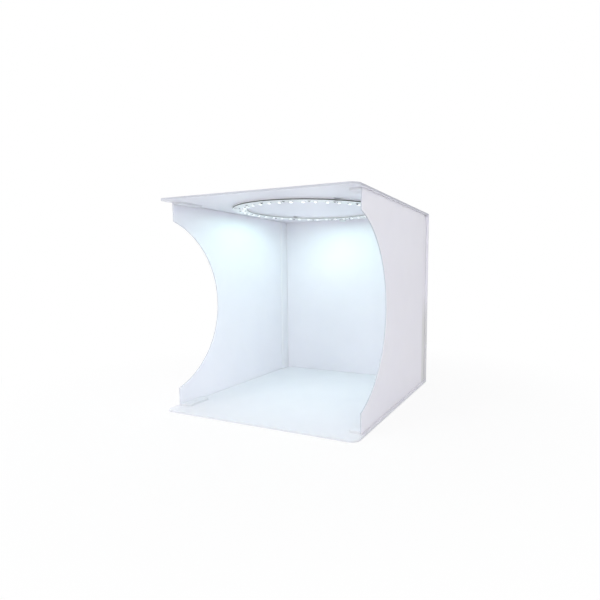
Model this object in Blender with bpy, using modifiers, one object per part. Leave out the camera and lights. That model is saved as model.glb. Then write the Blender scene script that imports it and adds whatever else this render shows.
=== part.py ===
"""Light tent cube: a fold-up white shooting box with a ring lamp under its roof.

Three boards (floor, back and roof) and two cut-out side walls meet at creases. Small
tabs with magnets hold the walls to the floor and the roof. Units are metres, +Z is up,
the open front faces -Y and the origin is on the ground under the middle of the box.
"""

import math

import bmesh
import bpy
from mathutils import Matrix

MM = 0.001

# Boards: floor, back and roof share one width and one sheet thickness
board_width = 230.0 * MM
board_thickness = 2.0 * MM
box_depth = 232.0 * MM
front_lip = 18.0 * MM
box_height = 231.0 * MM
front_corner_radius = 9.0 * MM

# Side walls
wall_thickness = 1.5 * MM
wall_inset = 3.0 * MM
wall_end_length = 20.0 * MM
wall_cutout_depth = 69.0 * MM
spine_depth = 13.5 * MM
spine_corner_height = 19.0 * MM

# Clearances
crease_gap = 0.3 * MM
seat_gap = 0.3 * MM
cut_overrun = 1.0 * MM

# Corner tabs and the magnets that hold them
tab_length = 32.0 * MM
tab_width = 12.0 * MM
tab_thickness = 1.5 * MM
tab_corner_radius = 4.0 * MM
tab_setback = 1.0 * MM
magnet_radius = 4.0 * MM
magnet_skin = 0.4 * MM

# Ring lamp
ring_outer_radius = 93.0 * MM
ring_band_width = 16.6 * MM
ring_thickness = 1.6 * MM
ring_drop = 1.0 * MM
ring_rearward_offset = 4.5 * MM
lamp_count = 40
lamp_turn_share = 0.5
lamp_circle_inset = 11.7 * MM
lamp_length = 3.5 * MM
lamp_width = 2.8 * MM
lamp_height = 0.8 * MM
resistor_count = 20
resistor_turn_share = 0.5
resistor_circle_inset = 7.1 * MM
resistor_length = 2.0 * MM
resistor_width = 1.25 * MM
resistor_height = 0.55 * MM
solder_film_thickness = 0.2 * MM
solder_film_margin = 0.9 * MM
solder_sink = 0.1 * MM

# Push rivets that carry the ring
rivet_count = 4
rivet_turn_share = 0.5
rivet_circle_inset = 3.0 * MM
rivet_shank_radius = 1.2 * MM
rivet_head_radius = 3.2 * MM
rivet_head_height = 1.1 * MM
rivet_foot_radius = 2.2 * MM
rivet_foot_height = 0.8 * MM
rivet_collar_radius = 2.6 * MM
rivet_hole_clearance = 0.3 * MM
rivet_edge_round = 0.4 * MM

# Power inlet on the ring's rear edge
inlet_width = 7.6 * MM
inlet_depth = 5.0 * MM
inlet_height = 2.8 * MM
inlet_wall = 0.4 * MM
inlet_bevel = 0.7 * MM
inlet_floor = 0.9 * MM
tongue_width = 4.6 * MM
tongue_height = 0.6 * MM
tongue_length = 3.2 * MM

# Fineness of round work, in segments
CORNER_STEPS = 10
CUTOUT_STEPS = 56
RING_STEPS = 120
DISC_STEPS = 32
RIVET_STEPS = 20
EDGE_STEPS = 3
SMOOTH_ANGLE = math.radians(30.0)

FULL_TURN = 2.0 * math.pi
QUARTER_TURN = math.pi / 2.0

# Places that follow from the sizes above; Y is counted from the middle of the whole depth
half_width = board_width / 2.0
front_edge_y = -(box_depth + front_lip) / 2.0
wall_front_y = front_edge_y + front_lip
back_outer_y = wall_front_y + box_depth
back_inner_y = back_outer_y - board_thickness
floor_top_z = board_thickness
roof_bottom_z = box_height - board_thickness
wall_outer_x = half_width - wall_inset
wall_inner_x = wall_outer_x - wall_thickness
wall_bottom_z = floor_top_z + seat_gap
wall_top_z = roof_bottom_z - seat_gap
spine_rear_y = back_inner_y - seat_gap
crease_y = back_inner_y - spine_depth
wall_rear_y = crease_y - crease_gap / 2.0
spine_front_y = crease_y + crease_gap / 2.0
ring_centre_y = ring_rearward_offset
ring_inner_radius = ring_outer_radius - ring_band_width
lamp_circle_radius = ring_outer_radius - lamp_circle_inset
resistor_circle_radius = ring_outer_radius - resistor_circle_inset
rivet_circle_radius = ring_outer_radius - rivet_circle_inset
ring_top_z = roof_bottom_z - ring_drop
ring_bottom_z = ring_top_z - ring_thickness
film_top_z = ring_bottom_z - seat_gap
film_bottom_z = film_top_z - solder_film_thickness
tab_hinge_x = wall_inner_x - crease_gap
tab_centre_x = tab_hinge_x - tab_width / 2.0
tab_centre_y = wall_front_y + tab_setback + tab_length / 2.0
magnet_thickness = tab_thickness - magnet_skin - seat_gap
pocket_radius = magnet_radius + seat_gap
pocket_depth = magnet_thickness + seat_gap

COLOURS = {
    "white_sheet": ((0.90, 0.91, 0.94), 0.45, 0.0),
    "lamp_board": ((0.93, 0.94, 0.95), 0.35, 0.0),
    "lamp": ((0.98, 0.98, 0.92), 0.30, 0.0),
    "resistor": ((0.05, 0.05, 0.06), 0.40, 0.0),
    "nylon": ((0.88, 0.89, 0.90), 0.40, 0.0),
    "magnet_plating": ((0.72, 0.72, 0.74), 0.25, 1.0),
    "inlet_shell": ((0.70, 0.71, 0.73), 0.28, 1.0),
    "inlet_tongue": ((0.06, 0.06, 0.07), 0.45, 0.0),
}


def clear_scene():
    """Remove every object that the file starts with."""
    for obj in list(bpy.data.objects):
        bpy.data.objects.remove(obj, do_unlink=True)


def make_collection(name):
    """Add a collection to the scene."""
    collection = bpy.data.collections.new(name)
    bpy.context.scene.collection.children.link(collection)
    return collection


def make_material(name, colour, roughness, metallic):
    """Make one Principled material."""
    material = bpy.data.materials.new(name)
    material.use_nodes = True
    shader = material.node_tree.nodes["Principled BSDF"]
    shader.inputs["Base Color"].default_value = (*colour, 1.0)
    shader.inputs["Roughness"].default_value = roughness
    shader.inputs["Metallic"].default_value = metallic
    return material


def arc(centre, radius, start, end, steps):
    """Points along an arc, ends included, angles counted from the first axis."""
    return [
        (
            centre[0] + radius * math.cos(start + (end - start) * i / steps),
            centre[1] + radius * math.sin(start + (end - start) * i / steps),
        )
        for i in range(steps + 1)
    ]


def ring_points(radius, steps):
    """Points round a full circle, the first not repeated."""
    return arc((0.0, 0.0), radius, 0.0, FULL_TURN, steps)[:-1]


def take_mesh(drawn):
    """Turn a drawn object, with its modifiers, into a plain mesh and remove it."""
    evaluated = drawn.evaluated_get(bpy.context.evaluated_depsgraph_get())
    mesh = bpy.data.meshes.new_from_object(evaluated)
    bpy.data.objects.remove(drawn, do_unlink=True)
    return mesh


def smooth(mesh):
    """Shade round faces smooth and keep the true edges sharp."""
    mesh.shade_smooth()
    mesh.set_sharp_from_angle(angle=SMOOTH_ANGLE)


class Builder:
    """Holds the two collections and the materials, and makes the named pieces."""

    def __init__(self):
        self.parts = make_collection("light_tent_cube")
        self.cutters = make_collection("cutters")
        self.materials = {key: make_material(key, *look) for key, look in COLOURS.items()}

    def mesh_object(self, name, mesh, material=None, cutter=False):
        """Put a mesh in the scene as a named piece, or as a hidden cutter."""
        obj = bpy.data.objects.new(name, mesh)
        (self.cutters if cutter else self.parts).objects.link(obj)
        if cutter:
            obj.hide_render = True
            obj.display_type = "WIRE"
        else:
            mesh.materials.clear()
            mesh.materials.append(self.materials[material])
        return obj

    def sheet(self, name, outlines, thickness, place, material):
        """Cut a flat sheet from closed outlines; place is the middle of its thickness."""
        curve = bpy.data.curves.new(name + "_outline", "CURVE")
        curve.dimensions = "2D"
        curve.fill_mode = "BOTH"
        curve.extrude = thickness / 2.0
        for points in outlines:
            spline = curve.splines.new("POLY")
            spline.points.add(len(points) - 1)
            for point, (x, y) in zip(spline.points, points):
                point.co = (x, y, 0.0, 1.0)
            spline.use_cyclic_u = True
        drawn = bpy.data.objects.new(name + "_outline", curve)
        self.cutters.objects.link(drawn)
        mesh = take_mesh(drawn)
        work = bmesh.new()
        work.from_mesh(mesh)
        bmesh.ops.remove_doubles(work, verts=work.verts, dist=thickness / 1000.0)
        bmesh.ops.recalc_face_normals(work, faces=work.faces)
        work.to_mesh(mesh)
        work.free()
        smooth(mesh)
        mesh.name = name
        obj = self.mesh_object(name, mesh, material)
        obj.matrix_world = place
        return obj

    def disc(self, name, radius, low_z, high_z, centre, material=None, cutter=False):
        """A short upright cylinder between two heights."""
        work = bmesh.new()
        bmesh.ops.create_cone(
            work,
            cap_ends=True,
            segments=DISC_STEPS,
            radius1=radius,
            radius2=radius,
            depth=high_z - low_z,
        )
        mesh = bpy.data.meshes.new(name)
        work.to_mesh(mesh)
        work.free()
        smooth(mesh)
        obj = self.mesh_object(name, mesh, material, cutter)
        obj.location = (centre[0], centre[1], (low_z + high_z) / 2.0)
        return obj

    def blocks(self, name, size, places, material=None, cutter=False):
        """Equal boxes at several places, as one mesh."""
        work = bmesh.new()
        for place in places:
            bmesh.ops.create_cube(work, size=1.0, matrix=place @ Matrix.Diagonal((*size, 1.0)))
        mesh = bpy.data.meshes.new(name)
        work.to_mesh(mesh)
        work.free()
        return self.mesh_object(name, mesh, material, cutter)

    def turned(self, name, profile, place, steps, material):
        """Turn a profile of radius and height pairs round Z, from the axis and back to it."""
        outline = bpy.data.meshes.new(name + "_profile")
        work = bmesh.new()
        verts = [work.verts.new((radius, 0.0, z)) for radius, z in profile]
        for first, second in zip(verts, verts[1:]):
            work.edges.new((first, second))
        work.to_mesh(outline)
        work.free()
        drawn = self.mesh_object(name + "_profile", outline, cutter=True)
        screw = drawn.modifiers.new("turn", "SCREW")
        screw.angle = FULL_TURN
        screw.steps = steps
        screw.render_steps = steps
        screw.use_merge_vertices = True
        screw.merge_threshold = crease_gap / 100.0
        mesh = take_mesh(drawn)
        smooth(mesh)
        mesh.name = name
        obj = self.mesh_object(name, mesh, material)
        obj.location = place
        return obj

    def combine(self, obj, other, operation):
        """Cut another shape out of a piece, or join it on."""
        boolean = obj.modifiers.new(operation.lower(), "BOOLEAN")
        boolean.operation = operation
        boolean.solver = "EXACT"
        boolean.object = other

    def hinge(self, name, place, parent=None):
        """An empty on a crease line, which carries what swings there."""
        empty = bpy.data.objects.new(name, None)
        self.parts.objects.link(empty)
        empty.empty_display_size = board_thickness
        empty.location = place
        if parent is not None:
            carry(empty, parent)
        bpy.context.view_layer.update()
        return empty


def carry(obj, parent):
    """Parent a piece to a hinge without moving it."""
    obj.parent = parent
    obj.matrix_parent_inverse = parent.matrix_world.inverted()


def board_outline(front_y, rear_y):
    """A board seen from above: square rear corners and rounded front ones."""
    middle_x = half_width - front_corner_radius
    middle_y = front_y + front_corner_radius
    right = arc((middle_x, middle_y), front_corner_radius, -QUARTER_TURN, 0.0, CORNER_STEPS)
    left = [(-x, y) for x, y in reversed(right)]
    return left + right + [(half_width, rear_y), (-half_width, rear_y)]


def wall_outline():
    """A side wall seen from the side, as Y and Z pairs; its cut-out is a segment of a circle."""
    half_chord = (wall_top_z - wall_bottom_z) / 2.0 - wall_end_length
    radius = (half_chord**2 + wall_cutout_depth**2) / (2.0 * wall_cutout_depth)
    centre = (wall_front_y + wall_cutout_depth - radius, (wall_top_z + wall_bottom_z) / 2.0)
    half_angle = math.atan2(half_chord, radius - wall_cutout_depth)
    cutout = arc(centre, radius, half_angle, -half_angle, CUTOUT_STEPS)
    return [
        (wall_front_y, wall_bottom_z),
        (wall_rear_y, wall_bottom_z),
        (wall_rear_y, wall_top_z),
        (wall_front_y, wall_top_z),
    ] + cutout


def spine_outline():
    """A side wall's margin behind its crease, as Y and Z pairs; its top corner is oval."""
    depth = spine_rear_y - spine_front_y
    corner = [
        (spine_front_y + depth * across, wall_top_z + spine_corner_height * (up - 1.0))
        for across, up in arc((0.0, 0.0), 1.0, 0.0, QUARTER_TURN, CORNER_STEPS)
    ]
    return [(spine_front_y, wall_bottom_z), (spine_rear_y, wall_bottom_z)] + corner


def flap_outline():
    """The back board's side flap, which the wall's margin lies against, as Y and Z pairs."""
    return [
        (spine_front_y, wall_bottom_z),
        (spine_rear_y, wall_bottom_z),
        (spine_rear_y, wall_top_z),
        (spine_front_y, wall_top_z),
    ]


def tab_outline(side):
    """A corner tab seen from above: straight at its crease, rounded at its free edge."""
    half_length = tab_length / 2.0
    half_tab = tab_width / 2.0
    centre_x = half_tab - tab_corner_radius
    centre_y = half_length - tab_corner_radius
    far = arc((centre_x, centre_y), tab_corner_radius, 0.0, QUARTER_TURN, CORNER_STEPS)
    near = [(x, -y) for x, y in reversed(far)]
    points = [(-half_tab, -half_length)] + near + far + [(-half_tab, half_length)]
    return [(side * x, y) for x, y in points]


def upright(centre_x):
    """Turns a flat outline of Y and Z pairs up into a wall at centre_x."""
    axes = Matrix(((0.0, 0.0, 1.0), (1.0, 0.0, 0.0), (0.0, 1.0, 0.0))).to_4x4()
    return Matrix.Translation((centre_x, 0.0, 0.0)) @ axes


def level(centre_z, x=0.0, y=0.0):
    """Places a flat outline of X and Y pairs at a height."""
    return Matrix.Translation((x, y, centre_z))


def around(count, radius, height, turn_share):
    """Places evenly round the ring lamp, each turned to face its middle."""
    places = []
    for i in range(count):
        angle = FULL_TURN * (i + turn_share) / count
        centre = (radius * math.cos(angle), ring_centre_y + radius * math.sin(angle), height)
        places.append(Matrix.Translation(centre) @ Matrix.Rotation(angle, 4, "Z"))
    return places


def build_boards(make, hinges):
    """The floor, the back and the roof."""
    rear_y = back_inner_y - crease_gap
    outline = board_outline(front_edge_y, rear_y)
    middle = board_thickness / 2.0
    floor = make.sheet("floor_board", [outline], board_thickness, level(middle), "white_sheet")
    roof = make.sheet(
        "roof_board", [outline], board_thickness, level(box_height - middle), "white_sheet"
    )
    back_points = [
        (-half_width, 0.0),
        (half_width, 0.0),
        (half_width, box_height),
        (-half_width, box_height),
    ]
    stand = Matrix.Translation((0.0, back_outer_y - middle, 0.0))
    back = make.sheet(
        "back_board",
        [back_points],
        board_thickness,
        stand @ Matrix.Rotation(QUARTER_TURN, 4, "X"),
        "white_sheet",
    )
    carry(back, hinges["back"])
    carry(roof, hinges["roof"])
    return floor, roof


def build_walls(make, hinges):
    """The two cut-out side walls, their margins and the back flaps those lie against."""
    middle_x = (wall_outer_x + wall_inner_x) / 2.0
    flap_x = wall_inner_x - seat_gap - wall_thickness / 2.0
    for side, name in ((-1.0, "left"), (1.0, "right")):
        place = upright(side * middle_x)
        wall = make.sheet(
            name + "_wall", [wall_outline()], wall_thickness, place, "white_sheet"
        )
        spine = make.sheet(
            name + "_spine_strip", [spine_outline()], wall_thickness, place, "white_sheet"
        )
        flap = make.sheet(
            name + "_back_flap",
            [flap_outline()],
            wall_thickness,
            upright(side * flap_x),
            "white_sheet",
        )
        carry(wall, hinges[name + "_wall"])
        carry(spine, hinges["back"])
        carry(flap, hinges["back"])


def build_tabs(make, hinges, floor, roof):
    """Four corner tabs, a magnet in each, and the magnets they meet in floor and roof."""
    floor_tab_z = floor_top_z + seat_gap
    roof_tab_z = roof_bottom_z - seat_gap
    for side, name in ((-1.0, "left"), (1.0, "right")):
        centre = (side * tab_centre_x, tab_centre_y)
        for level_name, face_z, tab_face_z, board, outward in (
            ("floor", floor_top_z, floor_tab_z, floor, 1.0),
            ("roof", roof_bottom_z, roof_tab_z, roof, -1.0),
        ):
            key = name + "_" + level_name
            middle_z = tab_face_z + outward * tab_thickness / 2.0
            tab = make.sheet(
                key + "_tab",
                [tab_outline(-side)],
                tab_thickness,
                level(middle_z, *centre),
                "white_sheet",
            )
            carry(tab, hinges[key + "_tab"])
            for magnet_name, owner, start_z, inward in (
                (key + "_tab_magnet", tab, tab_face_z, outward),
                (key + "_board_magnet", board, face_z, -outward),
            ):
                ends = sorted((start_z, start_z + inward * magnet_thickness))
                magnet = make.disc(magnet_name, magnet_radius, *ends, centre, "magnet_plating")
                pocket_ends = sorted(
                    (start_z - inward * cut_overrun, start_z + inward * pocket_depth)
                )
                pocket = make.disc(
                    magnet_name + "_pocket", pocket_radius, *pocket_ends, centre, cutter=True
                )
                make.combine(owner, pocket, "DIFFERENCE")
                if owner is tab:
                    carry(magnet, hinges[key + "_tab"])
                elif board is roof:
                    carry(magnet, hinges["roof"])


def lamp_film(make, name, circle_radius, part_width, material):
    """The thin printed ring that carries one circle of small parts."""
    half = part_width / 2.0 + solder_film_margin
    outlines = [
        ring_points(circle_radius + half, RING_STEPS),
        ring_points(circle_radius - half, RING_STEPS),
    ]
    middle_z = (film_top_z + film_bottom_z) / 2.0
    place = level(middle_z, 0.0, ring_centre_y)
    return make.sheet(name, outlines, solder_film_thickness, place, material)


def build_ring(make, hinges, roof):
    """The ring board, its lamps and resistors, its rivets and its power inlet."""
    outlines = [
        ring_points(ring_outer_radius, RING_STEPS),
        ring_points(ring_inner_radius, RING_STEPS),
    ]
    place = level((ring_top_z + ring_bottom_z) / 2.0, 0.0, ring_centre_y)
    board = make.sheet("ring_board", outlines, ring_thickness, place, "lamp_board")
    carry(board, hinges["roof"])

    for name, count, radius, length, width, height, turn_share, material in (
        (
            "lamp_array",
            lamp_count,
            lamp_circle_radius,
            lamp_length,
            lamp_width,
            lamp_height,
            lamp_turn_share,
            "lamp",
        ),
        (
            "resistor_array",
            resistor_count,
            resistor_circle_radius,
            resistor_length,
            resistor_width,
            resistor_height,
            resistor_turn_share,
            "resistor",
        ),
    ):
        film = lamp_film(make, name, radius, width, material)
        size = (width, length, height + solder_sink)
        middle_z = film_bottom_z + solder_sink - size[2] / 2.0
        parts = make.blocks(
            name + "_parts", size, around(count, radius, middle_z, turn_share), cutter=True
        )
        make.combine(film, parts, "UNION")
        carry(film, hinges["roof"])

    build_rivets(make, hinges, roof, board)
    build_inlet(make, hinges)


def rivet_profile():
    """A push rivet from its axis at the head, down its outer side and back to the axis."""
    head_bottom = box_height + seat_gap
    head_top = head_bottom + rivet_head_height
    collar_top = roof_bottom_z - seat_gap
    collar_bottom = ring_top_z + seat_gap
    foot_top = ring_bottom_z - seat_gap
    foot_bottom = foot_top - rivet_foot_height
    head_round = arc(
        (rivet_head_radius - rivet_edge_round, head_top - rivet_edge_round),
        rivet_edge_round,
        QUARTER_TURN,
        0.0,
        EDGE_STEPS,
    )
    foot_round = arc(
        (rivet_foot_radius - rivet_edge_round, foot_bottom + rivet_edge_round),
        rivet_edge_round,
        0.0,
        -QUARTER_TURN,
        EDGE_STEPS,
    )
    return (
        [(0.0, head_top)]
        + head_round
        + [
            (rivet_head_radius, head_bottom),
            (rivet_shank_radius, head_bottom),
            (rivet_shank_radius, collar_top),
            (rivet_collar_radius, collar_top),
            (rivet_collar_radius, collar_bottom),
            (rivet_shank_radius, collar_bottom),
            (rivet_shank_radius, foot_top),
            (rivet_foot_radius, foot_top),
        ]
        + foot_round
        + [(0.0, foot_bottom)]
    )


def build_rivets(make, hinges, roof, board):
    """Four push rivets through the roof and the ring board."""
    hole_radius = rivet_shank_radius + rivet_hole_clearance
    names = ("front_left", "front_right", "rear_right", "rear_left")
    for i, name in enumerate(names[:rivet_count]):
        angle = FULL_TURN * (i + rivet_turn_share) / rivet_count - math.pi
        centre = (
            rivet_circle_radius * math.cos(angle),
            ring_centre_y + rivet_circle_radius * math.sin(angle),
        )
        rivet = make.turned(
            name + "_rivet", rivet_profile(), (*centre, 0.0), RIVET_STEPS, "nylon"
        )
        carry(rivet, hinges["roof"])
        for owner, low_z, high_z in (
            (roof, roof_bottom_z, box_height),
            (board, ring_bottom_z, ring_top_z),
        ):
            hole = make.disc(
                f"{name}_{owner.name}_hole",
                hole_radius,
                low_z - cut_overrun,
                high_z + cut_overrun,
                centre,
                cutter=True,
            )
            make.combine(owner, hole, "DIFFERENCE")


def build_inlet(make, hinges):
    """A small power socket under the ring's rear edge, with its mouth to the rear."""
    top_z = ring_bottom_z - seat_gap
    middle_z = top_z - inlet_height / 2.0
    rear_y = ring_centre_y + ring_outer_radius
    middle_y = rear_y - inlet_depth / 2.0
    shell = make.blocks(
        "power_inlet",
        (inlet_width, inlet_depth, inlet_height),
        [Matrix.Translation((0.0, middle_y, middle_z))],
        "inlet_shell",
    )
    bevel = shell.modifiers.new("rounded_edges", "BEVEL")
    bevel.width = inlet_bevel
    bevel.segments = EDGE_STEPS
    bevel.limit_method = "ANGLE"
    cavity_depth = inlet_depth - inlet_floor
    cavity = make.blocks(
        "power_inlet_cavity",
        (
            inlet_width - 2.0 * inlet_wall,
            cavity_depth + cut_overrun,
            inlet_height - 2.0 * inlet_wall,
        ),
        [
            Matrix.Translation(
                (0.0, rear_y - cavity_depth / 2.0 + cut_overrun / 2.0, middle_z)
            )
        ],
        cutter=True,
    )
    make.combine(shell, cavity, "DIFFERENCE")
    tongue_front_y = rear_y - cavity_depth + seat_gap
    tongue = make.blocks(
        "power_inlet_tongue",
        (tongue_width, tongue_length, tongue_height),
        [Matrix.Translation((0.0, tongue_front_y + tongue_length / 2.0, middle_z))],
        "inlet_tongue",
    )
    carry(shell, hinges["roof"])
    carry(tongue, hinges["roof"])


def build_hinges(make):
    """Empties on the crease lines, each parented to the one that carries it."""
    hinges = {"back": make.hinge("back_crease", (0.0, back_outer_y, 0.0))}
    hinges["roof"] = make.hinge(
        "roof_crease", (0.0, back_outer_y, box_height), hinges["back"]
    )
    middle_z = box_height / 2.0
    floor_tab_z = floor_top_z + seat_gap + tab_thickness
    roof_tab_z = roof_bottom_z - seat_gap - tab_thickness
    for side, name in ((-1.0, "left"), (1.0, "right")):
        wall = make.hinge(
            name + "_wall_crease", (side * wall_outer_x, crease_y, middle_z), hinges["back"]
        )
        hinges[name + "_wall"] = wall
        for level_name, crease_z in (("floor", floor_tab_z), ("roof", roof_tab_z)):
            key = f"{name}_{level_name}_tab"
            place = (side * tab_hinge_x, tab_centre_y, crease_z)
            hinges[key] = make.hinge(key + "_crease", place, wall)
    return hinges


def main():
    """Build the whole light tent."""
    clear_scene()
    make = Builder()
    hinges = build_hinges(make)
    floor, roof = build_boards(make, hinges)
    build_walls(make, hinges)
    build_tabs(make, hinges, floor, roof)
    build_ring(make, hinges, roof)


main()
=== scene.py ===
"""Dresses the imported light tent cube: its sheets, creases, corner catches, ring lamp and studio."""

import logging
import math
from dataclasses import dataclass, field
from enum import Enum

import bmesh
import bpy
from mathutils import Matrix, Vector


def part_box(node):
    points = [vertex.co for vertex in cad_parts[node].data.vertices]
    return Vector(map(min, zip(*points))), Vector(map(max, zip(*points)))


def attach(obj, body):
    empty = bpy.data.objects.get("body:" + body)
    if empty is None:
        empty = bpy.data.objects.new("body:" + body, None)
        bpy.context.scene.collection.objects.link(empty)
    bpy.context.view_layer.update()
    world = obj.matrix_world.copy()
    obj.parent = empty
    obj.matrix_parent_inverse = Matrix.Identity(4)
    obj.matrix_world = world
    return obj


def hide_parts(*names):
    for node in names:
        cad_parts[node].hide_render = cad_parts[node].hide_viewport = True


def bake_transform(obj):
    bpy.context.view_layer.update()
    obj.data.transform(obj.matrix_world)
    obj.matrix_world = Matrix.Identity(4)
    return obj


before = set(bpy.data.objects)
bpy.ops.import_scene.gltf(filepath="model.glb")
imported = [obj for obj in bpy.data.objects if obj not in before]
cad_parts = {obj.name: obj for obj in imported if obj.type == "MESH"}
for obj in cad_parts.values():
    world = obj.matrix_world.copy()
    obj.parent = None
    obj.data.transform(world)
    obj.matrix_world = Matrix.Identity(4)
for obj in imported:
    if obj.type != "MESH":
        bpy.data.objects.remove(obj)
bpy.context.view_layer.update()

MM = 0.001
PER_MM = 1000.0
# What a drawn edge keeps clear of the sheet that it meets
CLEARANCE = 0.05 * MM
# How deep a drawn part starts inside what carries it
SUNK = 0.02 * MM
SMOOTH_ANGLE = math.radians(32.0)
# Round stretches are drawn with this many steps to the full turn
FINE_STEPS = 48
SMALL_STEPS = 24

log = logging.getLogger("light_tent")


class FaceAxis(Enum):
    """The axis that a sheet's two broad faces look along."""

    X = 0
    Y = 1
    Z = 2


class Side(Enum):
    """A side of the box, as the sign of its x."""

    LEFT = -1.0
    RIGHT = 1.0

    @property
    def key(self) -> str:
        """The side's word in the nodes' names."""
        return self.name.lower()

    def outer_x(self, node: str) -> float:
        """Gives the x of a node's face that looks away from the box."""
        low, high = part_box(node)
        return high.x if self is Side.RIGHT else low.x

    def inner_x(self, node: str) -> float:
        """Gives the x of a node's face that looks into the box."""
        low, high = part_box(node)
        return low.x if self is Side.RIGHT else high.x


class Level(Enum):
    """The level board that a crease or a corner tab meets, with the way from it into the box."""

    FLOOR = 1.0
    ROOF = -1.0

    @property
    def key(self) -> str:
        """The level's word in the nodes' names."""
        return self.name.lower()

    @property
    def board(self) -> str:
        """The level's board."""
        return f"{self.key}_board"

    def inner_z(self, node: str) -> float:
        """Gives the z of a node's face that looks into the box."""
        low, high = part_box(node)
        return high.z if self is Level.FLOOR else low.z


def linear(hex_colour: str) -> tuple[float, float, float, float]:
    """Turns an sRGB hex colour into the linear values that Blender's sockets take.

    Args:
        hex_colour: six hex digits, such as "EDECF4".

    Returns:
        Red, green, blue and an alpha of 1.
    """
    values = []
    for start in (0, 2, 4):
        share = int(hex_colour[start:start + 2], 16) / 255.0
        values.append(share / 12.92 if share <= 0.04045 else ((share + 0.055) / 1.055) ** 2.4)
    return (values[0], values[1], values[2], 1.0)


def add_node(tree: bpy.types.NodeTree, kind: str, settings: dict | None = None,
             inputs: dict | None = None) -> bpy.types.Node:
    """Adds a node to a tree, with its settings and links.

    Args:
        tree: the node tree of a material, a lamp or the world.
        kind: the node's type name.
        settings: the node's own properties.
        inputs: socket names or numbers, each with a value or with the socket that feeds it.

    Returns:
        The new node.
    """
    node = tree.nodes.new(kind)
    for name, value in (settings or {}).items():
        setattr(node, name, value)
    for key, value in (inputs or {}).items():
        if isinstance(value, bpy.types.NodeSocket):
            tree.links.new(value, node.inputs[key])
        else:
            node.inputs[key].default_value = value
    return node


def open_material(name: str) -> tuple[bpy.types.Material, bpy.types.NodeTree]:
    """Starts a node material with an empty tree.

    Args:
        name: the material's name.

    Returns:
        The material and its node tree.
    """
    material = bpy.data.materials.new(name)
    material.use_nodes = True
    material.node_tree.nodes.clear()
    return material, material.node_tree


def close_material(tree: bpy.types.NodeTree, surface: bpy.types.NodeSocket) -> None:
    """Links a finished shader to the tree's output."""
    add_node(tree, "ShaderNodeOutputMaterial", inputs={"Surface": surface})


def seen_directly(tree: bpy.types.NodeTree) -> bpy.types.NodeSocket:
    """Tells the rays that show a surface, straight, mirrored or through glass, from those that light.

    Args:
        tree: the node tree of a material or the world.

    Returns:
        A socket that is 1 for rays that show the surface and 0 for the others.
    """
    path = add_node(tree, "ShaderNodeLightPath")
    seen = add_node(tree, "ShaderNodeMath", {"operation": "MAXIMUM"}, {
        0: path.outputs["Is Camera Ray"], 1: path.outputs["Is Glossy Ray"]})
    seen_too = add_node(tree, "ShaderNodeMath", {"operation": "MAXIMUM"}, {
        0: seen.outputs[0], 1: path.outputs["Is Transmission Ray"]})
    return seen_too.outputs[0]


def add_object(name: str, data: bpy.types.ID) -> bpy.types.Object:
    """Puts new data into the scene.

    Args:
        name: the object's name.
        data: its mesh, lamp or camera.

    Returns:
        The new object.
    """
    placed = bpy.data.objects.new(name, data)
    bpy.context.scene.collection.objects.link(placed)
    return placed


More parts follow.
